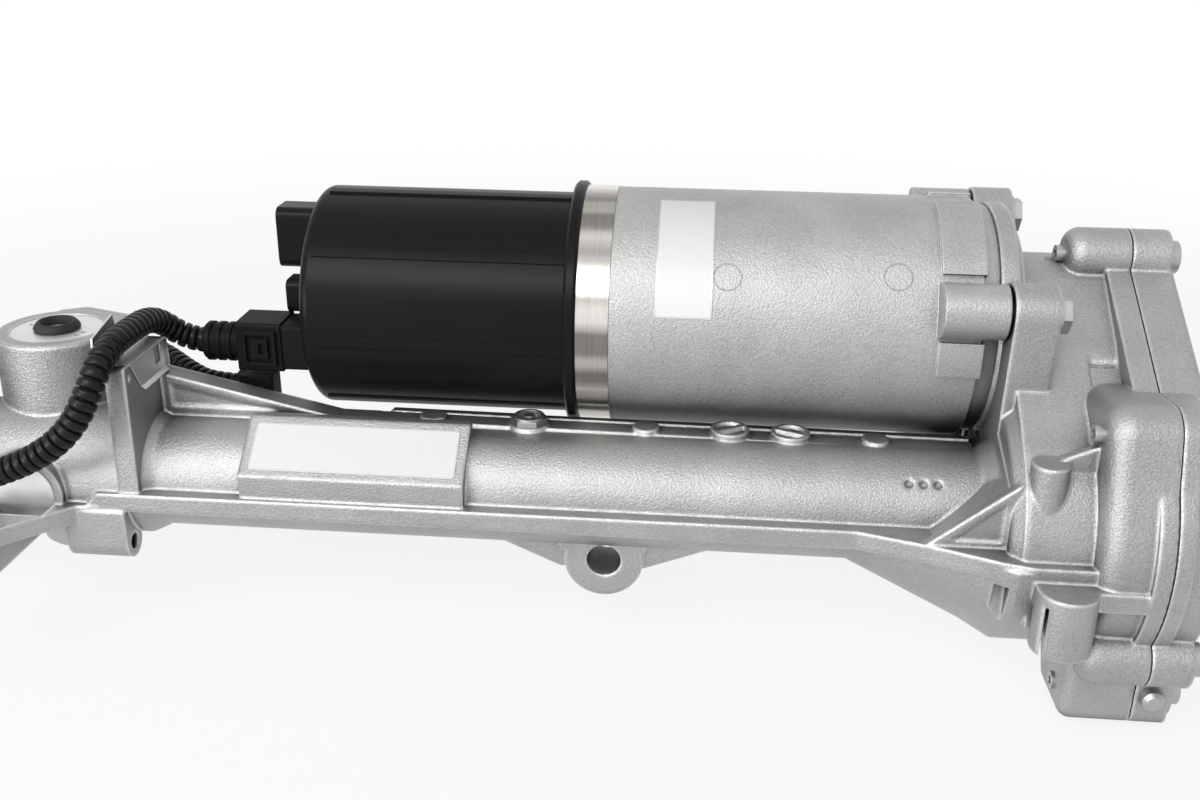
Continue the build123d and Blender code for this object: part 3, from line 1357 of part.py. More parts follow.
# Spring-steel clip on top of the web
CLIP_STEEL = 0.8
CLIP_JAW_X = -198.4
WEB_LEFT = WEB_X - WEB_THICKNESS / 2
WEB_RIGHT = WEB_X + WEB_THICKNESS / 2
with BuildPart() as cable_clip:
    plate(
        facing(8),
        [
            (CLIP_JAW_X, WEB_TOP_Z + 0.02),
            (WEB_RIGHT + SEAT_GAP + CLIP_STEEL, WEB_TOP_Z + 0.02),
            (WEB_RIGHT + SEAT_GAP + CLIP_STEEL, WEB_TOP_Z + CLIP_STEEL),
            (CLIP_JAW_X, WEB_TOP_Z + CLIP_STEEL),
        ],
        31,
    )
    # jaw beyond the conduit, and the lip that hangs over the web's right side
    plate(
        across(CLIP_JAW_X),
        [(-25, WEB_TOP_Z + 0.02), (-23, WEB_TOP_Z + 11), (-5, WEB_TOP_Z + 15), (-2, WEB_TOP_Z + 0.02)],
        CLIP_STEEL,
    )
    plate(
        across(WEB_RIGHT + SEAT_GAP),
        [(-22, WEB_TOP_Z + CLIP_STEEL), (-15, WEB_TOP_Z - 11), (8, WEB_TOP_Z - 11), (8, WEB_TOP_Z + CLIP_STEEL)],
        CLIP_STEEL,
    )
    plate(
        facing(8),
        [
            (WEB_RIGHT + SEAT_GAP, WEB_TOP_Z - 11),
            (WEB_RIGHT + SEAT_GAP + CLIP_STEEL, WEB_TOP_Z - 11),
            (WEB_RIGHT + SEAT_GAP + 2.6, WEB_TOP_Z - 12.4),
            (WEB_RIGHT + SEAT_GAP + 1.8, WEB_TOP_Z - 12.4),
        ],
        23,
    )
    with BuildSketch(across(WEB_RIGHT - 1)):
        with Locations((2, WEB_TOP_Z - 3.5)):
            RectangleRounded(6, 8, 1)
    extrude(amount=4, mode=Mode.SUBTRACT)
save(cable_clip, "cable_clip")


def corner_radii(points, largest_share=0.45):
    """Arc radius at each inner corner of a cord's route: a share of the shorter run over the half turn's tangent."""
    radii = []
    for before, corner, after in zip(points, points[1:], points[2:]):
        run_in = Vector(*corner) - Vector(*before)
        run_out = Vector(*after) - Vector(*corner)
        half_turn = radians(run_in.get_angle(run_out)) / 2
        radii.append(largest_share * min(run_in.length, run_out.length) / tan(half_turn))
    return radii


harness_points = [(x, y, z + RACK_Z) for x, y, z in HARNESS_ROUTE]
harness_radii = corner_radii(harness_points)
print("harness radii", [round(radius, 1) for radius in harness_radii])
with BuildPart() as harness_conduit:
    with BuildLine() as harness_path:
        FilletPolyline(*harness_points, radius=harness_radii)
    with BuildSketch(Plane(origin=harness_path.line @ 0, z_dir=harness_path.line % 0)):
        Circle(CONDUIT_R)
    sweep()
harness_length = sum(edge.length for edge in harness_path.edges())
print("harness length", round(harness_length, 1))
print("harness volume ratio", round(harness_conduit.part.volume / (pi * CONDUIT_R**2 * harness_length), 4))
save(harness_conduit, "harness_conduit")

# Inner ball joints at the right-hand end; the left-hand ones are their mirror images
JOINT_CENTRE = (BALL_CENTRE_X, 0, RACK_Z)
with BuildPart() as right_ball_housing:
    turned(
        facing(0),
        RACK_AXIS,
        [
            (RACK_END_X - 22, 0),
            (RACK_END_X - 22, STUD_R - 1),
            (RACK_END_X - 21, STUD_R),
            (RACK_END_X, STUD_R),
            (RACK_END_X, BALL_HOUSING_R - 1),
            (RACK_END_X + 1, BALL_HOUSING_R),
            (BALL_CENTRE_X + 7, BALL_HOUSING_R),
            (BALL_CENTRE_X + 11, BALL_HOUSING_R - 2.5),
            (BALL_CENTRE_X + 11, 0),
        ],
    )
    with Locations(JOINT_CENTRE):
        Sphere(SEAT_R + RUNNING, mode=Mode.SUBTRACT)
    turned(
        facing(0),
        RACK_AXIS,
        [(BALL_CENTRE_X, 0), (BALL_CENTRE_X, 9), (BALL_CENTRE_X + 12, 13.6), (BALL_CENTRE_X + 12, 0)],
        Mode.SUBTRACT,
    )
save(right_ball_housing, "right_ball_housing")

with BuildPart() as right_ball_seat:
    with Locations(JOINT_CENTRE):
        Sphere(SEAT_R)
        Sphere(BALL_JOINT_R + RUNNING, mode=Mode.SUBTRACT)
    with Locations((BALL_CENTRE_X + 6 + 20, 0, RACK_Z)):
        Box(40, 60, 60, mode=Mode.SUBTRACT)
save(right_ball_seat, "right_ball_seat")

BOOT_SEAT_X = BALL_CENTRE_X + 75.0
with BuildPart() as right_tie_rod:
    turned(
        facing(0),
        RACK_AXIS,
        [
            (BALL_CENTRE_X, 0),
            (BALL_CENTRE_X, ROD_NECK_R),
            (BALL_CENTRE_X + 20, ROD_NECK_R),
            (BALL_CENTRE_X + 26, ROD_R + 1),
            (BOOT_SEAT_X - 6, ROD_R + 1),
            (BOOT_SEAT_X - 5, ROD_R),
            (BOOT_SEAT_X + 8, ROD_R),
            (BOOT_SEAT_X + 9, ROD_R + 1),
            (ROD_END_X - 62, ROD_R + 1),
            (ROD_END_X - 60, ROD_R),
            (ROD_END_X - 1, ROD_R),
            (ROD_END_X, ROD_R - 1),
            (ROD_END_X, 0),
        ],
    )
    with Locations(JOINT_CENTRE):
        Sphere(BALL_JOINT_R)
save(right_tie_rod, "right_tie_rod")

# Bellows: cuff on the neck, folds over the ball joint, small cuff on the tie rod
BELLOWS_START_X = 272.0
FOLDS_START_X = 293.0
FOLDS_END_X = 440.0
fold = (FOLDS_END_X - FOLDS_START_X) / BELLOWS_FOLDS
fold_points = []
for step in range(BELLOWS_FOLDS):
    fold_points.append((FOLDS_START_X + step * fold, BELLOWS_ROOT_R))
    fold_points.append((FOLDS_START_X + (step + 0.5) * fold, BELLOWS_R))
fold_points.append((FOLDS_END_X, BELLOWS_ROOT_R))
CUFF_R = ROD_R + SEAT_GAP
outer_points = [
    (BELLOWS_START_X, NECK_R + BELLOWS_WALL),
    (FOLDS_START_X - 3, NECK_R + BELLOWS_WALL),
    *fold_points,
    (BOOT_SEAT_X - 6, ROD_R + 5),
    (BOOT_SEAT_X - 4, CUFF_R + BELLOWS_WALL),
    (BOOT_SEAT_X + 7, CUFF_R + BELLOWS_WALL),
]
inner_points = [(x, r - BELLOWS_WALL) for x, r in outer_points]
with BuildPart() as right_bellows:
    turned(facing(0), RACK_AXIS, outer_points + inner_points[::-1])
save(right_bellows, "right_bellows")

with BuildPart() as bellows_clamps:
    for side in (1, -1):
        start = side * (BELLOWS_START_X + 5)
        ring(
            facing(0), RACK_AXIS, start, start + side * 6, NECK_R + BELLOWS_WALL + RUNNING, NECK_R + BELLOWS_WALL + 1.3)
save(bellows_clamps, "bellows_clamps")

with BuildPart() as right_rod_clamp:
    ring(
        facing(0),
        RACK_AXIS,
        BOOT_SEAT_X,
        BOOT_SEAT_X + 4,
        CUFF_R + BELLOWS_WALL + RUNNING,
        CUFF_R + BELLOWS_WALL + 1.1,
    )
save(right_rod_clamp, "right_rod_clamp")

for twin, name in (
    (right_ball_housing, "left_ball_housing"),
    (right_ball_seat, "left_ball_seat"),
    (right_tie_rod, "left_tie_rod"),
    (right_bellows, "left_bellows"),
    (right_rod_clamp, "left_rod_clamp"),
):
    with BuildPart() as left_twin:
        mirror(twin.part, about=Plane.YZ)
    save(left_twin, name)
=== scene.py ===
"""Looks of an electric power steering rack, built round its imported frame.

The rack bar lies along X, the viewer stands towards -Y and the pinion points up along Z.
The origin is the middle of the centre mounting ear's bore. Every size is in metres.
"""

import json
import logging
from dataclasses import dataclass, field
from enum import Enum
from math import cos, pi, radians, sin
from typing import Any, Iterable, Optional, Union

import bmesh
import bpy
from mathutils import Matrix, Vector


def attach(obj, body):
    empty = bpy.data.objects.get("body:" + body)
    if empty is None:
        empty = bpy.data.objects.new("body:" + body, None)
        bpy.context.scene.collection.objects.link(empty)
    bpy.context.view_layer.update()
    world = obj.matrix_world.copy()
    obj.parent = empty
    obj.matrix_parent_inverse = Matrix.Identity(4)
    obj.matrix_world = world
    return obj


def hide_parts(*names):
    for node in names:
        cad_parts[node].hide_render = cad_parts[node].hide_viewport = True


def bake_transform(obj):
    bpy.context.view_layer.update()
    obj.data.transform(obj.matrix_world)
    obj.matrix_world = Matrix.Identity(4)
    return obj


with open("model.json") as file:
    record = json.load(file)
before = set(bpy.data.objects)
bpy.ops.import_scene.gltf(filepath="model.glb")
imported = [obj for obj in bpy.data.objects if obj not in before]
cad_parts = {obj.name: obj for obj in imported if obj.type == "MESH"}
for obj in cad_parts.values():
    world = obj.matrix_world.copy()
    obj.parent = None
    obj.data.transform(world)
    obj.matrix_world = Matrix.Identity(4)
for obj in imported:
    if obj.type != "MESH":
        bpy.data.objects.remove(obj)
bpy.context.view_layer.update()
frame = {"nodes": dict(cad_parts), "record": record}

log = logging.getLogger("steering_rack")

MM = 0.001
RACK_HEIGHT = 26.5 * MM
MOTOR_DEPTH = 55.0 * MM
MOTOR_HEIGHT = RACK_HEIGHT + 62.0 * MM
PINION_X = -233.0 * MM
PINION_DEPTH = 15.5 * MM
NODE_SAMPLES = 6
TURN_STEPS = 64

Colour = tuple[float, float, float]
Point = tuple[float, float, float]


class Body(Enum):
    """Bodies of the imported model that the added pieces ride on."""

    HOUSING = "housing"
    RACK = "rack"
    LEFT_SEAT = "left_seat"
    RIGHT_SEAT = "right_seat"
    LEFT_ROD = "left_rod"
    RIGHT_ROD = "right_rod"


class Side(Enum):
    """End of the rack bar, as the sign of its X."""

    LEFT = -1
    RIGHT = 1


class Signal:
    """A socket of a material's nodes that can be used in arithmetic."""

    def __init__(self, shader: "Shader", socket: bpy.types.NodeSocket) -> None:
        """Keeps the socket and the shader that it belongs to."""
        self.shader = shader
        self.socket = socket

    def _maths(self, operation: str, *values: "Value") -> "Signal":
        """Adds one Math node fed by the given values."""
        return self.shader.node("ShaderNodeMath", {"operation": operation}, dict(enumerate(values)))

    def __add__(self, other: "Value") -> "Signal":
        """Sum of two values."""
        return self._maths("ADD", self, other)

    __radd__ = __add__

    def __sub__(self, other: "Value") -> "Signal":
        """Difference of two values."""
        return self._maths("SUBTRACT", self, other)

    def __rsub__(self, other: "Value") -> "Signal":
        """Difference of a number and this value."""
        return self._maths("SUBTRACT", other, self)

    def __mul__(self, other: "Value") -> "Signal":
        """Product of two values."""
        return self._maths("MULTIPLY", self, other)

    __rmul__ = __mul__

    def above(self, threshold: float, width: float) -> "Signal":
        """A mask that rises smoothly from 0 to 1 across a threshold.

        Args:
            threshold: value at the middle of the rise.
            width: length of the rise.

        Returns:
            The mask.
        """
        inputs = {"Value": self, "From Min": threshold - width / 2, "From Max": threshold + width / 2}
        return self.shader.node("ShaderNodeMapRange", {"interpolation_type": "SMOOTHSTEP"}, inputs)

    def distance(self) -> "Signal":
        """The value without its sign."""
        return self._maths("ABSOLUTE", self)

    def largest(self, other: "Value") -> "Signal":
        """The larger of two values."""
        return self._maths("MAXIMUM", self, other)


Value = Union[Signal, float]


class Shader:
    """The nodes of one material round a Principled surface."""

    def __init__(self, name: str) -> None:
        """Starts a material that has only its surface and its output."""
        self.material = bpy.data.materials.new(name)
        self.material.use_nodes = True
        self.tree = self.material.node_tree
        self.surface = self.tree.nodes["Principled BSDF"]

    def node(
        self, kind: str, settings: dict[str, Any], inputs: dict[Any, Any], output: Union[int, str] = 0,
    ) -> Signal:
        """Adds any node.

        Args:
            kind: the node's type.
            settings: attributes that are set before the sockets.
            inputs: values, colours or signals by socket name or number.
            output: name or number of the socket that is handed back.

        Returns:
            The chosen output as a signal.
        """
        made = self.tree.nodes.new(kind)
        for name, value in settings.items():
            setattr(made, name, value)
        for name, value in inputs.items():
            self._feed(made.inputs[name], value)
        return Signal(self, made.outputs[output])

    def _feed(self, socket: bpy.types.NodeSocket, value: Any) -> None:
        """Links a signal to a socket or writes a constant on it."""
        if isinstance(value, Signal):
            self.tree.links.new(value.socket, socket)
        elif socket.type == "RGBA" and len(value) == 3:
            socket.default_value = (*value, 1.0)
        else:
            socket.default_value = value

    def set(self, **sockets: Any) -> None:
        """Feeds sockets of the surface, named with underscores for blanks."""
        for name, value in sockets.items():
            self._feed(self.surface.inputs[name.replace("_", " ")], value)

    def place(self) -> Signal:
        """Place on the object, in metres."""
        return self.node("ShaderNodeTexCoord", {}, {}, "Object")

    def vector_maths(self, operation: str, *values: Any, output: Union[int, str] = "Value") -> Signal:
        """Adds one Vector Math node fed by the given vectors."""
        return self.node("ShaderNodeVectorMath", {"operation": operation}, dict(enumerate(values)), output)

    def stretched(self, vector: Signal, scale: Point, origin: Point = (0.0, 0.0, 0.0)) -> Signal:
        """A place counted from an origin and scaled along each axis."""
        moved = self.vector_maths("SUBTRACT", vector, origin, output=0)
        return self.vector_maths("MULTIPLY", moved, scale, output=0)

    def noise(self, vector: Signal, size: float, detail: float = 2.0, roughness: float = 0.5) -> Signal:
        """Soft noise whose patches are about the given size."""
        inputs = {"Vector": vector, "Scale": 1.0 / size, "Detail": detail, "Roughness": roughness}
        return self.node("ShaderNodeTexNoise", {}, inputs, "Fac")

    def cells(self, vector: Signal, size: float) -> Signal:
        """Distance to the middle of rounded cells of the given size."""
        inputs = {"Vector": vector, "Scale": 1.0 / size}
        return self.node("ShaderNodeTexVoronoi", {"feature": "F1"}, inputs, "Distance")

    def colours(self, low: Any, high: Any, share: Value) -> Signal:
        """Mix of two colours."""
        return self.node("ShaderNodeMix", {"data_type": "RGBA"}, {0: share, 6: low, 7: high}, 2)

    def rounded(self, radius: float) -> Signal:
        """Normal of the surface with its edges rounded off."""
        return self.node("ShaderNodeBevel", {"samples": NODE_SAMPLES}, {"Radius": radius})

    def edge(self, rounded: Signal) -> Signal:
        """How far a rounded normal leaves the true one: high along edges."""
        true = self.node("ShaderNodeNewGeometry", {}, {}, "Normal")
        return 1.0 - self.vector_maths("DOT_PRODUCT", rounded, true)

    def hollow(self, reach: float) -> Signal:
        """Openness of the surroundings: 1 in the open, lower in corners and under parts."""
        return self.node("ShaderNodeAmbientOcclusion", {"samples": NODE_SAMPLES}, {"Distance": reach}, "AO")

    def bump(self, height: Signal, depth: float, strength: float, normal: Optional[Signal] = None) -> Signal:
        """Normal that follows a height pattern.

        Args:
            height: the pattern, from 0 to 1.
            depth: height in metres that 1 stands for.
            strength: share of the effect.
            normal: normal that the pattern lies on.

        Returns:
            The bent normal.
        """
        inputs = {"Height": height, "Distance": depth, "Strength": strength}
        if normal is not None:
            inputs["Normal"] = normal
        return self.node("ShaderNodeBump", {}, inputs)


@dataclass(frozen=True)
class CastSkin:
    """Aluminium as it leaves the mould: grainy and a little uneven, brighter along the edges from rubbed wear and
    a painted highlight, darker in recesses from painted shade.
    """

    name: str
    tone: Colour = (0.40, 0.40, 0.396)
    grain: float = 0.6 * MM
    grain_depth: float = 0.36 * MM
    roughness: float = 0.46
    metallic: float = 0.88
    cloud: float = 26 * MM
    dark_share: float = 0.56
    light_share: float = 1.36
    edge_radius: float = 2.4 * MM
    # Pale edge tone: a painted highlight on the rounded edges together with rubbed wear.
    highlight_and_wear_tone: Colour = (0.86, 0.86, 0.85)
    edge_patch: float = 6 * MM
    # Painted shade: the reach of the ambient-occlusion mask and the near-black tone painted where the
    # surroundings close in.
    painted_shade_reach: float = 20 * MM
    painted_shade_tone: Colour = (0.035, 0.035, 0.035)
    ejector_marks: tuple[Point, ...] = ()
    mark_radius: float = 5.4 * MM
    mark_line: float = 0.2 * MM

    def build(self) -> bpy.types.Material:
        """Makes the material."""
        shader = Shader(self.name)
        place = shader.place()
        rounded = shader.rounded(self.edge_radius)
        # Edge mask broken into patches: partly rubbed wear and partly a painted highlight.
        highlight_and_wear = (shader.edge(rounded) * 3.4 * shader.noise(place, self.edge_patch, 3.0)).above(0.2, 0.36)
        clouds = shader.noise(place, self.cloud, 3.0)
        grains = shader.noise(place, self.grain, 2.5, 0.66)
        pits = shader.cells(place, self.grain * 1.7)
        dark = tuple(self.dark_share * c for c in self.tone)
        light = tuple(min(1.0, self.light_share * c) for c in self.tone)
        skin = shader.colours(dark, light, clouds * 0.5 + grains * 1.3 - 0.4)
        # Painted shade: the skin darkens towards a near-black tone in corners, recesses, gaps between parts and
        # under the motor.
        shaded_skin = shader.colours(self.painted_shade_tone, skin, shader.hollow(self.painted_shade_reach).above(0.4, 0.5))
        height = grains * 0.75 + pits * 0.4
        for middle in self.ejector_marks:
            away = shader.vector_maths("DISTANCE", place, middle)
            line = 1.0 - (away - self.mark_radius).distance().above(self.mark_line, self.mark_line)
            height = height - line * 1.3
            # Painted shade: each mark's ring line is darkened a little with the same tone, as shade in its
            # groove.
            shaded_skin = shader.colours(shaded_skin, self.painted_shade_tone, line * 0.12)
        shader.set(
            # Painted highlight and rubbed wear: the edges are lightened towards the pale edge tone.
            Base_Color=shader.colours(shaded_skin, self.highlight_and_wear_tone, highlight_and_wear * 0.75),
            Metallic=self.metallic,
            Roughness=grains * 0.24 + (self.roughness - 0.12) - highlight_and_wear * 0.08,
            Normal=shader.bump(height, self.grain_depth, 0.75, rounded),
        )
        return shader.material


@dataclass(frozen=True)
class MachinedMetal:
    """Turned or milled metal with fine tool marks."""

    name: str
    tone: Colour
    roughness: float = 0.3
    mark: float = 0.25 * MM
    mark_depth: float = 0.02 * MM
    stretch: Point = (1.0, 1.0, 1.0)
    dark_patch: float = 9 * MM
    edge_radius: float = 0.35 * MM

    def build(self) -> bpy.types.Material:
        """Makes the material."""
        shader = Shader(self.name)
        place = shader.place()
        marks = shader.noise(shader.stretched(place, self.stretch), self.mark, 2.0)
        stains = shader.noise(place, self.dark_patch, 3.0)
        rounded = shader.rounded(self.edge_radius)
        dark = tuple(0.78 * c for c in self.tone)
        shader.set(
            Base_Color=shader.colours(dark, self.tone, stains * 0.7 + marks * 0.5),
            Metallic=1.0,
            Roughness=self.roughness + marks * 0.14 + stains * 0.08,
            Normal=shader.bump(marks, self.mark_depth, 0.5, rounded),
        )
        return shader.material


@dataclass(frozen=True)
class BrushedBand:
    """Stainless band brushed round its axis, with long streaks that follow the turn and dark and light bands
    round the turn that are painted reflections.
    """

    name: str
    tone: Colour = (0.80, 0.77, 0.73)
    # Dark tone of the painted reflection bands.
    dark_patch: Colour = (0.16, 0.145, 0.13)
    streak: float = 0.3 * MM
    streak_depth: float = 0.02 * MM
    patch: float = 17 * MM

    def build(self) -> bpy.types.Material:
        """Makes the material."""
        shader = Shader(self.name)
        place = shader.place()
        streaks = shader.noise(shader.stretched(place, (1.0, 0.02, 0.02)), self.streak, 3.0)
        # Painted reflection: bands that vary only round the axis stand in for the surroundings mirrored in the
        # band.
        reflection_bands = shader.noise(shader.stretched(place, (0.0, 1.0, 1.0)), self.patch, 1.5).above(0.5, 0.22)
        shader.set(
            Base_Color=shader.colours(self.dark_patch, self.tone, reflection_bands * 0.8 + streaks * 0.3 - 0.05),
            Metallic=1.0,
            Roughness=0.16 + streaks * 0.16,
            Normal=shader.bump(streaks, self.streak_depth, 0.35),
        )
        return shader.material


@dataclass(frozen=True)
class MouldedPlastic:
    """Moulded plastic with a fine spark texture and softly rounded edges."""

    name: str
    tone: Colour = (0.006, 0.006, 0.007)
    roughness: float = 0.30
    texture: float = 0.35 * MM
    texture_depth: float = 0.03 * MM
    cloud: float = 18 * MM
    edge_radius: float = 0.5 * MM
    shine: float = 0.10

    def build(self) -> bpy.types.Material:
        """Makes the material."""
        shader = Shader(self.name)
        place = shader.place()
        spark = shader.noise(place, self.texture, 2.0, 0.6)
        clouds = shader.noise(place, self.cloud, 3.0)
        rounded = shader.rounded(self.edge_radius)
        # Paler along the edges: a painted highlight together with wear.
        highlight_and_wear = shader.edge(rounded).above(0.12, 0.2)
        pale = tuple(min(1.0, 1.6 * c + 0.004) for c in self.tone)
        shader.set(
            Base_Color=shader.colours(self.tone, pale, clouds * 0.5 + highlight_and_wear * 0.4),
            Specular_IOR_Level=self.shine,
            Roughness=self.roughness - 0.05 + spark * 0.1 + clouds * 0.06,
            Normal=shader.bump(spark, self.texture_depth, 0.5, rounded),
        )
        return shader.material


@dataclass(frozen=True)
class Rubber:
    """Matt black rubber with a dusty bloom."""

    name: str
    tone: Colour = (0.014, 0.014, 0.015)
    roughness: float = 0.55
    bloom: float = 5 * MM
    grain: float = 0.5 * MM
    grain_depth: float = 0.03 * MM
    edge_radius: float = 0.4 * MM

    def build(self) -> bpy.types.Material:
        """Makes the material."""
        shader = Shader(self.name)
        place = shader.place()
        bloom = shader.noise(place, self.bloom, 4.0, 0.6)
        skin = shader.noise(place, self.grain, 2.0)
        shader.set(
            Base_Color=shader.colours(self.tone, tuple(c + 0.02 for c in self.tone), bloom.above(0.5, 0.5)),
            Specular_IOR_Level=0.3,
            Roughness=self.roughness + bloom * 0.16,
            Normal=shader.bump(skin, self.grain_depth, 0.4, shader.rounded(self.edge_radius)),
        )
        return shader.material


@dataclass(frozen=True)
class LabelFilm:
    """Label film without any print: a pale field inside a thin frame line."""

    name: str
    middle: Point
    along: Point
    across: Point
    half_length: float
    half_width: float
    field_tone: Colour = (0.82, 0.83, 0.84)
    rim_tone: Colour = (0.60, 0.60, 0.60)
    rim: float = 0.7 * MM
    mottle: float = 3 * MM
    mottle_depth: float = 0.02 * MM
    edge_radius: float = 0.25 * MM

    def build(self) -> bpy.types.Material:
        """Makes the material."""
        shader = Shader(self.name)
        place = shader.place()
        local = shader.stretched(place, (1.0, 1.0, 1.0), self.middle)
        length = shader.vector_maths("DOT_PRODUCT", local, self.along).distance()
        width = shader.vector_maths("DOT_PRODUCT", local, self.across).distance()
        inset = (length - self.half_length).largest(width - self.half_width)
        rim = inset.above(-self.rim, 0.2 * MM)
        mottle = shader.noise(place, self.mottle, 3.0)
        field_colour = shader.colours(tuple(0.96 * c for c in self.field_tone), self.field_tone, mottle)
        shader.set(
            Base_Color=shader.colours(field_colour, self.rim_tone, rim),
            Metallic=rim * 0.5,
            Roughness=0.38 + mottle * 0.12,
            Normal=shader.bump(mottle, self.mottle_depth, 0.3, shader.rounded(self.edge_radius)),
        )
        return shader.material


@dataclass(frozen=True)
class CoatedBoard:
    """Green circuit board with a faint weave."""

    name: str
    tone: Colour = (0.02, 0.10, 0.05)
    weave: float = 0.8 * MM
    weave_depth: float = 0.02 * MM

    def build(self) -> bpy.types.Material:
        """Makes the material."""
        shader = Shader(self.name)
        weave = shader.noise(shader.stretched(shader.place(), (1.0, 8.0, 1.0)), self.weave, 1.0)
        shader.set(
            Base_Color=shader.colours(self.tone, tuple(1.4 * c for c in self.tone), weave),
            Roughness=0.3 + weave * 0.1,
            Normal=shader.bump(weave, self.weave_depth, 0.3),
        )
        return shader.material


Finish = Union[CastSkin, MachinedMetal, BrushedBand, MouldedPlastic, Rubber, LabelFilm, CoatedBoard]

LABEL_TILT = radians(50.0)
LABEL_REACH = 26.2 * MM
LABEL_MIDDLE = (-99.5 * MM, -LABEL_REACH * cos(LABEL_TILT), RACK_HEIGHT + LABEL_REACH * sin(LABEL_TILT))
MOTOR_LABEL_TILT = radians(44.0)
MOTOR_LABEL_REACH = 50.2 * MM
MOTOR_LABEL_MIDDLE = (
    28.25 * MM, MOTOR_DEPTH - MOTOR_LABEL_REACH * cos(MOTOR_LABEL_TILT),
    MOTOR_HEIGHT + MOTOR_LABEL_REACH * sin(MOTOR_LABEL_TILT))

FINISHES: dict[str, Finish] = {
    "cast_aluminium": CastSkin("sand_cast_aluminium"),
    "motor_aluminium": CastSkin(
        "motor_case_aluminium", tone=(0.44, 0.44, 0.435), grain_depth=0.30 * MM, roughness=0.5,
        edge_radius=0.9 * MM,
        ejector_marks=((45.1 * MM, 12.4 * MM, 114.7 * MM), (110.7 * MM, 13.7 * MM, 116.7 * MM))),
    "machined_aluminium": MachinedMetal("turned_aluminium", (0.78, 0.78, 0.77), roughness=0.34),
    "zinc_steel": MachinedMetal("zinc_plated_steel", (0.47, 0.465, 0.455)),
    "steel": MachinedMetal("ground_steel", (0.40, 0.40, 0.41), roughness=0.24, stretch=(4.0, 1.0, 1.0)),
    "spring_steel": MachinedMetal("spring_steel", (0.72, 0.72, 0.71), roughness=0.36),
    "stainless_band": BrushedBand("brushed_stainless"),
    "core_steel": MachinedMetal("laminated_core", (0.30, 0.30, 0.32), roughness=0.45, stretch=(10.0, 0.2, 0.2)),
    "satin_plastic": MouldedPlastic("satin_black_plastic"),
    "matt_plastic": MouldedPlastic("matt_black_plastic", roughness=0.5),
    "conduit_plastic": MouldedPlastic("conduit_plastic", texture_depth=0.01 * MM, shine=0.2),
    "black_rubber": Rubber("black_rubber"),
    "bearing_plastic": MouldedPlastic("bearing_plastic", tone=(0.70, 0.68, 0.58), roughness=0.4),
    "board": CoatedBoard("circuit_board"),
    "label_film": LabelFilm(
        "housing_label_film", LABEL_MIDDLE, (1.0, 0.0, 0.0), (0.0, sin(LABEL_TILT), cos(LABEL_TILT)),
        41.5 * MM, 10.5 * MM),
    "motor_label_film": LabelFilm(
        "motor_label_film", MOTOR_LABEL_MIDDLE, (1.0, 0.0, 0.0),
        (0.0, sin(MOTOR_LABEL_TILT), cos(MOTOR_LABEL_TILT)), 11.25 * MM, 26.6 * MM),
}

NODE_FINISHES = {"motor_label": "motor_label_film"}


class Wardrobe:
    """Builds each finish once and dresses objects with them."""

    def __init__(self) -> None:
        """Starts with nothing built."""
        self._built: dict[str, bpy.types.Material] = {}

    def material(self, slot: str) -> bpy.types.Material:
        """The material of a slot of the record."""
        if slot not in self._built:
            self._built[slot] = FINISHES[slot].build()
        return self._built[slot]

    def dress(self, piece: bpy.types.Object, slot: str) -> None:
        """Gives a piece one material, the one built for a slot."""
        piece.data.materials.clear()
        piece.data.materials.append(self.material(slot))

    def dress_nodes(self) -> None:
        """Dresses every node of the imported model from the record's own list of slots."""
        for entry in frame["record"]["subparts"]:
            node = frame["nodes"][entry["node"]]
            node.data.materials.clear()
            node.data.materials.append(self.material(NODE_FINISHES.get(entry["node"], entry["material_slot"])))


def finished(name: str, mesh: bmesh.types.BMesh, smooth_angle: float = 35.0) -> bpy.types.Object:
    """Turns a bmesh into an object of the scene, with its doubles merged and its faces outward.

    Args:
        name: name of the piece.
        mesh: the shape, which is used up.
        smooth_angle: largest angle, in degrees, that is shaded smooth.

    Returns:
        The new object, at the origin.
    """
    bmesh.ops.remove_doubles(mesh, verts=mesh.verts, dist=1e-6)
    bmesh.ops.recalc_face_normals(mesh, faces=mesh.faces)
    data = bpy.data.meshes.new(name)
    mesh.to_mesh(data)
    mesh.free()
    data.shade_smooth()
    data.set_sharp_from_angle(angle=radians(smooth_angle))
    piece = bpy.data.objects.new(name, data)
    bpy.context.scene.collection.objects.link(piece)
    return piece


def spun(profile: Iterable[tuple[float, float]], steps: int, closed: bool = True) -> bmesh.types.BMesh:
    """Turns a profile of (x, radius) points round the X axis.

    Args:
        profile: points of the profile, in order.
        steps: number of steps of the turn.
        closed: whether the last point joins the first.

    Returns:
        A bmesh about the X axis.
    """
    mesh = bmesh.new()
    points = [mesh.verts.new((x, 0.0, radius)) for x, radius in profile]
    ends = points[1:] + points[:1] if closed else points[1:]
    edges = [mesh.edges.new(pair) for pair in zip(points, ends)]
    bmesh.ops.spin(
        mesh, geom=points + edges, cent=(0, 0, 0), axis=(1, 0, 0), angle=2 * pi, steps=steps, use_merge=True,
        use_duplicate=False)
    return mesh


def applied(piece: bpy.types.Object) -> bpy.types.Object:
    """Replaces a piece's mesh by what its modifiers make of it.

    Args:
        piece: a mesh or curve object.

    Returns:
        A mesh object without modifiers, under the same name.
    """
    bpy.context.view_layer.update()
    seen = piece.evaluated_get(bpy.context.evaluated_depsgraph_get())
    data = bpy.data.meshes.new_from_object(seen)
    name = piece.name
    bpy.data.objects.remove(piece)
    data.name = name
    whole = bpy.data.objects.new(name, data)
    bpy.context.scene.collection.objects.link(whole)
    return whole


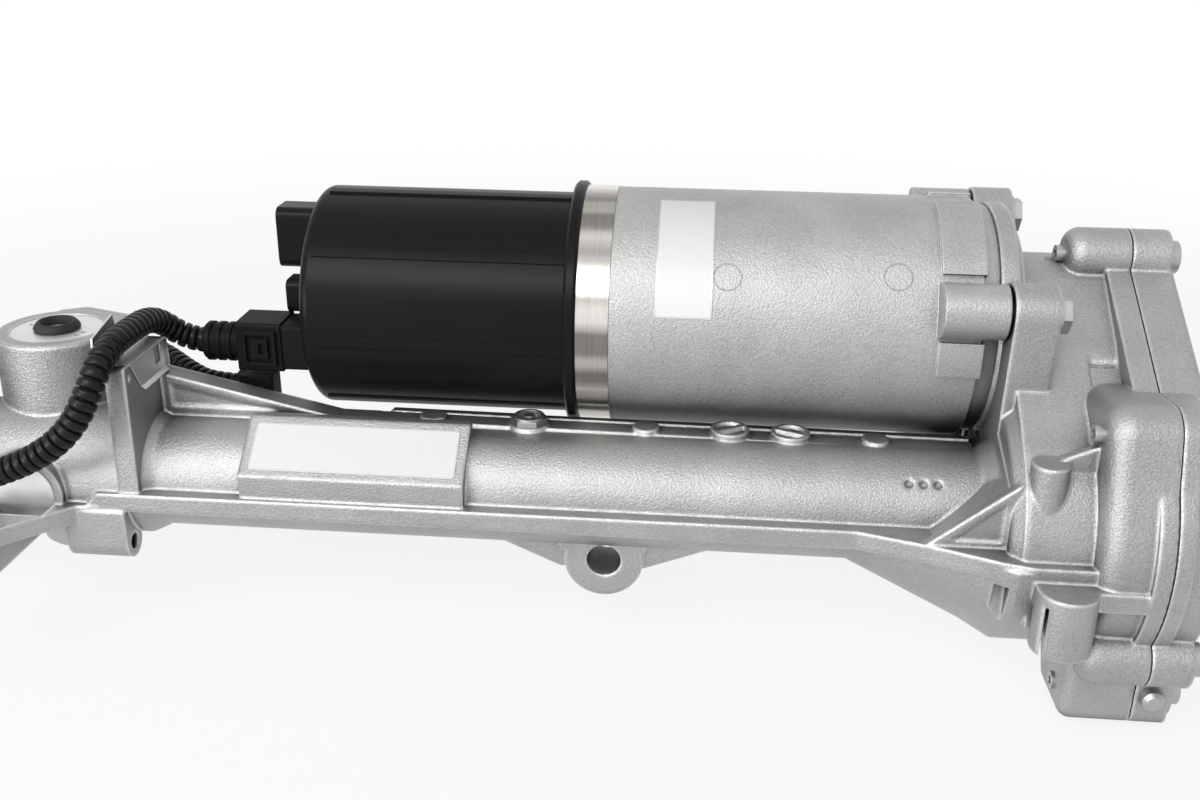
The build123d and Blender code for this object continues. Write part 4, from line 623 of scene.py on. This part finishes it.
@dataclass
class Conduit:
    """Corrugated conduit of the torque sensor's lead, over the web and round behind the tower."""

    wardrobe: Wardrobe
    radius: float = 5.4 * MM
    valley: float = 3.7 * MM
    pitch: float = 3.9 * MM
    ring_steps: int = 20
    route: list[Point] = field(default_factory=lambda: [
        (-169.0, 27.0, 48.0), (-178.0, 27.0, 48.0), (-186.0, 25.5, 52.0), (-190.5, 20.5, 58.2),
        (-191.4, 11.0, 61.6), (-191.3, -0.5, 62.4), (-191.3, -11.5, 62.5), (-191.3, -22.0, 62.2),
        (-192.0, -33.0, 57.5), (-194.5, -39.0, 48.0), (-199.0, -42.0, 38.5), (-206.0, -44.0, 30.5),
        (-215.5, -45.0, 24.0), (-226.0, -45.5, 19.0), (-239.5, -45.5, 14.0), (-253.0, -40.5, 13.5),
        (-264.0, -29.5, 18.5), (-270.5, -14.5, 26.5), (-272.0, 3.0, 33.5), (-269.5, 20.5, 37.0),
        (-261.0, 36.0, 37.0), (-247.0, 48.0, 36.5), (-230.0, 53.5, 36.0), (-213.0, 51.0, 35.0),
        (-199.0, 42.0, 34.0), (-186.5, 32.0, 31.5), (-173.0, 25.0, 28.5), (-157.0, 25.0, 28.5)])

    def _centreline(self) -> bpy.types.Object:
        """The lead's path as one smooth spline, from points in millimetres about the rack's axis."""
        curve = bpy.data.curves.new("conduit_path", "CURVE")
        curve.dimensions = "3D"
        curve.resolution_u = 16
        spline = curve.splines.new("NURBS")
        spline.points.add(len(self.route) - 1)
        for point, (x, y, z) in zip(spline.points, self.route):
            point.co = (x * MM, y * MM, z * MM + RACK_HEIGHT, 1.0)
        spline.order_u = 3
        spline.use_endpoint_u = True
        path = bpy.data.objects.new("conduit_path", curve)
        bpy.context.scene.collection.objects.link(path)
        return path

    def _corrugation(self) -> bmesh.types.BMesh:
        """One ridge and one valley of the conduit, open at both ends."""
        pitch, high, low = self.pitch, self.radius, self.valley
        flank, shoulder = 0.35 * low + 0.65 * high, high - 0.2 * MM
        profile = [
            (0.0, low), (0.14 * pitch, low), (0.17 * pitch, flank), (0.25 * pitch, shoulder), (0.4 * pitch, high),
            (0.74 * pitch, high), (0.89 * pitch, shoulder), (0.97 * pitch, flank), (pitch, low)]
        return spun(profile, self.ring_steps, closed=False)

    def build(self) -> None:
        """Makes the conduit by repeating one corrugation along the path."""
        path = self._centreline()
        length = sum(spline.calc_length() for spline in path.data.splines)
        ring = finished("harness_conduit_skin", self._corrugation(), 60.0)
        repeat = ring.modifiers.new("repeat", "ARRAY")
        repeat.fit_type = "FIT_LENGTH"
        repeat.fit_length = length - self.pitch
        repeat.use_relative_offset = False
        repeat.use_constant_offset = True
        repeat.constant_offset_displace = (self.pitch, 0.0, 0.0)
        repeat.use_merge_vertices = True
        repeat.merge_threshold = 0.05 * MM
        bend = ring.modifiers.new("bend", "CURVE")
        bend.object = path
        bend.deform_axis = "POS_X"
        conduit = applied(ring)
        bpy.data.objects.remove(path)
        mesh = bmesh.new()
        mesh.from_mesh(conduit.data)
        rims = [edge for edge in mesh.edges if edge.is_boundary]
        bmesh.ops.holes_fill(mesh, edges=rims)
        bmesh.ops.recalc_face_normals(mesh, faces=mesh.faces)
        mesh.to_mesh(conduit.data)
        mesh.free()
        self.wardrobe.dress(conduit, "conduit_plastic")
        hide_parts("harness_conduit")
        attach(conduit, Body.HOUSING.value)
        log.info("conduit: %.0f mm long", length / MM)


@dataclass
class TowerSeal:
    """Rubber ring round the steering input, with a soft flared lip."""

    wardrobe: Wardrobe
    axis_x: float = PINION_X
    axis_y: float = PINION_DEPTH
    cap_face: float = 81.2 * MM
    profile: tuple[tuple[float, float], ...] = (
        (-6.0, 5.5), (-6.0, 8.5), (0.1, 8.5), (0.3, 9.2), (1.0, 9.4), (1.7, 9.1), (2.9, 8.2), (3.4, 7.7),
        (3.5, 7.1), (3.3, 6.6), (2.4, 6.2), (1.6, 5.7), (1.0, 5.5))

    def build(self) -> None:
        """Turns the ring about the tower's axis, from heights over the cap and radii in millimetres."""
        mesh = spun([(z * MM, radius * MM) for z, radius in self.profile], TURN_STEPS)
        bmesh.ops.rotate(mesh, verts=mesh.verts, cent=(0, 0, 0), matrix=Matrix.Rotation(-pi / 2, 3, "Y"))
        bmesh.ops.translate(mesh, verts=mesh.verts, vec=(self.axis_x, self.axis_y, self.cap_face))
        seal = finished("tower_seal_lip", mesh, 50.0)
        self.wardrobe.dress(seal, "black_rubber")
        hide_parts("input_seal")
        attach(seal, Body.HOUSING.value)
        log.info("tower seal: spun lip")


@dataclass
class ChamberLid:
    """Thin cast skin that closes the belt chamber where the gear case meets the wall."""

    wardrobe: Wardrobe
    middle: Point = (190.4 * MM, 1.7 * MM, 84.16 * MM)
    size: Point = (14.0 * MM, 16.5 * MM, 0.8 * MM)
    slope: float = radians(36.07)
    depth: float = 0.5 * MM

    def build(self) -> None:
        """Lays the skin flush with the sloping wall."""
        mesh = bmesh.new()
        bmesh.ops.create_cube(mesh, size=1.0)
        bmesh.ops.scale(mesh, verts=mesh.verts, vec=self.size)
        bmesh.ops.translate(mesh, verts=mesh.verts, vec=(0.0, 0.0, -self.depth))
        bmesh.ops.rotate(mesh, verts=mesh.verts, cent=(0, 0, 0), matrix=Matrix.Rotation(self.slope, 3, "X"))
        bmesh.ops.translate(mesh, verts=mesh.verts, vec=self.middle)
        lid = finished("belt_chamber_skin", mesh)
        self.wardrobe.dress(lid, "cast_aluminium")
        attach(lid, Body.HOUSING.value)
        log.info("belt chamber skin: laid")


@dataclass
class Bellows:
    """Folded bellows from the housing's neck over the ball joint to the tie rod."""

    wardrobe: Wardrobe
    side: Side
    start: float = 272.0 * MM
    cuff_end: float = 290.0 * MM
    folds_start: float = 293.0 * MM
    fold: float = 12.25 * MM
    folds: int = 12
    rack_folds: int = 9
    joint_folds: int = 11
    bend_start: float = 282.0 * MM
    cuff_radius: float = 23.3 * MM
    crest: float = 30.0 * MM
    root: float = 23.5 * MM
    wall: float = 1.3 * MM
    fold_steps: int = 12
    fold_fullness: float = 0.75
    rod_cuff: tuple[tuple[float, float], ...] = (
        (444.0 * MM, 20.5 * MM), (449.0 * MM, 16.0 * MM), (453.5 * MM, 11.8 * MM), (455.5 * MM, 9.4 * MM),
        (457.5 * MM, 8.6 * MM), (468.0 * MM, 8.6 * MM))

    def _root_at(self, count: int) -> float:
        """Distance from the part's middle to the root after a number of folds."""
        return self.folds_start + count * self.fold

    def _folds(self, first: int, last: int) -> list[tuple[float, float]]:
        """Outer points of the folds from one root to another, with full crests and tight roots."""
        points = []
        steps = self.fold_steps
        for step in range((last - first) * steps + 1):
            height = (0.5 - 0.5 * cos(2 * pi * step / steps)) ** self.fold_fullness
            distance = self._root_at(first) + step * self.fold / steps
            points.append((distance, self.root + (self.crest - self.root) * height))
        return points

    def _piece(self, name: str, outer: list[tuple[float, float]]) -> bpy.types.Object:
        """Makes one closed length of the bellows from its outer points."""
        inner = [(x, radius - self.wall) for x, radius in reversed(outer)]
        mesh = spun([(self.side.value * x, radius) for x, radius in outer + inner], TURN_STEPS)
        bmesh.ops.translate(mesh, verts=mesh.verts, vec=(0.0, 0.0, RACK_HEIGHT))
        piece = finished(f"{self.side.name.lower()}_{name}", mesh, 50.0)
        self.wardrobe.dress(piece, "black_rubber")
        return piece

    def _bend(self, piece: bpy.types.Object) -> None:
        """Bakes a length's placement into its mesh."""
        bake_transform(piece)

    def build(self) -> None:
        """Makes the three lengths: along the rack, over the ball joint and onto the tie rod."""
        side = self.side.name.lower()
        first, second = self.rack_folds, self.joint_folds
        long_outer = [(self.start, self.cuff_radius), (self.cuff_end, self.cuff_radius), *self._folds(0, first)]
        long = self._piece("bellows_folds", long_outer)
        joint = self._piece("bellows_joint_folds", self._folds(first, second))
        cuff = self._piece("bellows_cuff", [*self._folds(second, self.folds), *self.rod_cuff])
        self._bend(long)
        self._bend(joint)
        self._bend(cuff)
        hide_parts(f"{side}_bellows")
        log.info("%s bellows: three lengths", side)


@dataclass(frozen=True)
class Lamp:
    """One rectangular soft lamp, its power in watts."""

    name: str
    place: Point
    aim: Point
    power: float
    size: tuple[float, float]

    def hang(self) -> None:
        """Hangs the lamp so that it faces its aim."""
        data = bpy.data.lights.new(self.name, "AREA")
        data.shape = "RECTANGLE"
        data.size, data.size_y = self.size
        data.energy = self.power
        lamp = bpy.data.objects.new(self.name, data)
        lamp.location = self.place
        lamp.rotation_euler = (Vector(self.aim) - Vector(self.place)).to_track_quat("-Z", "Y").to_euler()
        bpy.context.scene.collection.objects.link(lamp)


@dataclass
class Studio:
    """Camera of the photograph, plain floor and soft lamps."""

    camera_place: Point = (34.015 * MM, -449.790 * MM, 250.252 * MM)
    yaw: float = radians(4.7334)
    pitch: float = radians(22.2356)
    roll: float = radians(0.6820)
    focal_length: float = 36.769
    sensor_width: float = 36.0
    floor_height: float = -45.8 * MM
    floor_size: float = 12.0
    floor_tone: Colour = (0.94, 0.94, 0.94)
    floor_share: float = 0.14
    fade_middle: float = 0.85
    fade_width: float = 0.7
    world_strength: float = 0.24
    lamps: tuple[Lamp, ...] = (
        Lamp("key", (-0.5, -1.2, 1.15), (-0.05, 0.0, 0.05), 18.0, (1.2, 0.6)),
        Lamp("low_left", (-1.1, -1.1, 0.2), (-0.25, 0.0, 0.04), 8.0, (0.5, 0.4)))

    def camera(self) -> None:
        """Places the camera where the photograph was taken from."""
        data = bpy.data.cameras.new("photo_camera")
        data.lens = self.focal_length
        data.sensor_width = self.sensor_width
        data.clip_start = 0.01
        data.clip_end = 50.0
        right = Vector((cos(self.yaw), sin(self.yaw), 0.0))
        forward = Vector((-sin(self.yaw) * cos(self.pitch), cos(self.yaw) * cos(self.pitch), -sin(self.pitch)))
        up = right.cross(forward)
        right, up = cos(self.roll) * right + sin(self.roll) * up, cos(self.roll) * up - sin(self.roll) * right
        turn = Matrix((right, up, -forward)).transposed()
        camera = bpy.data.objects.new("photo_camera", data)
        camera.matrix_world = Matrix.Translation(self.camera_place) @ turn.to_4x4()
        bpy.context.scene.collection.objects.link(camera)
        bpy.context.scene.camera = camera

    def _white_for_camera(self, shader: Shader, lit: Signal, share: Signal) -> Signal:
        """Mixes a lit surface with plain white for the camera, mirrors and glass."""
        white = shader.node("ShaderNodeEmission", {}, {"Color": (1.0, 1.0, 1.0), "Strength": 1.0})
        rays = {name: shader.node("ShaderNodeLightPath", {}, {}, name) for name in
                ("Is Camera Ray", "Is Glossy Ray", "Is Transmission Ray")}
        direct = rays["Is Camera Ray"].largest(rays["Is Glossy Ray"]).largest(rays["Is Transmission Ray"])
        return shader.node("ShaderNodeMixShader", {}, {0: direct * share, 1: lit, 2: white})

    def floor(self) -> None:
        """Lays a wide pale floor just under the lowest casting."""
        mesh = bmesh.new()
        bmesh.ops.create_grid(mesh, x_segments=4, y_segments=4, size=self.floor_size / 2)
        bmesh.ops.translate(mesh, verts=mesh.verts, vec=(0.0, 0.0, self.floor_height))
        floor = finished("studio_floor", mesh)
        shader = Shader("pale_floor")
        mottle = shader.noise(shader.place(), 0.4, 2.0)
        tone = shader.colours(tuple(0.98 * c for c in self.floor_tone), self.floor_tone, mottle)
        shader.set(Base_Color=tone, Roughness=0.9)
        lit = Signal(shader, shader.surface.outputs[0])
        out = shader.tree.nodes["Material Output"]
        away = shader.vector_maths("LENGTH", shader.place())
        share = away.above(self.fade_middle, self.fade_width) * self.floor_share + (1 - self.floor_share)
        shader.tree.links.new(self._white_for_camera(shader, lit, share).socket, out.inputs[0])
        floor.data.materials.append(shader.material)

    def world(self) -> None:
        """Even pale surroundings, white where the camera looks at them."""
        world = bpy.data.worlds.new("studio")
        world.use_nodes = True
        bpy.context.scene.world = world
        tree = world.node_tree
        background = tree.nodes["Background"]
        background.inputs["Color"].default_value = (1.0, 1.0, 1.0, 1.0)
        background.inputs["Strength"].default_value = self.world_strength
        white = tree.nodes.new("ShaderNodeBackground")
        white.inputs["Color"].default_value = (1.0, 1.0, 1.0, 1.0)
        white.inputs["Strength"].default_value = 1.0
        rays = tree.nodes.new("ShaderNodeLightPath")
        mix = tree.nodes.new("ShaderNodeMixShader")
        direct = rays.outputs["Is Camera Ray"]
        for name in ("Is Glossy Ray", "Is Transmission Ray"):
            either = tree.nodes.new("ShaderNodeMath")
            either.operation = "MAXIMUM"
            tree.links.new(direct, either.inputs[0])
            tree.links.new(rays.outputs[name], either.inputs[1])
            direct = either.outputs[0]
        tree.links.new(direct, mix.inputs[0])
        tree.links.new(background.outputs[0], mix.inputs[1])
        tree.links.new(white.outputs[0], mix.inputs[2])
        tree.links.new(mix.outputs[0], tree.nodes["World Output"].inputs[0])

    def build(self) -> None:
        """Sets up the whole studio."""
        self.camera()
        self.floor()
        self.world()
        for lamp in self.lamps:
            lamp.hang()
        bpy.context.scene.view_settings.view_transform = "Standard"
        log.info("studio: camera, floor and lamps")


def main() -> None:
    """Builds the studio and dresses every piece."""
    logging.basicConfig(level=logging.INFO)
    Studio().build()
    wardrobe = Wardrobe()
    wardrobe.dress_nodes()
    Conduit(wardrobe).build()
    TowerSeal(wardrobe).build()
    ChamberLid(wardrobe).build()
    for side in Side:
        Bellows(wardrobe, side).build()


if __name__ == "__main__":
    main()
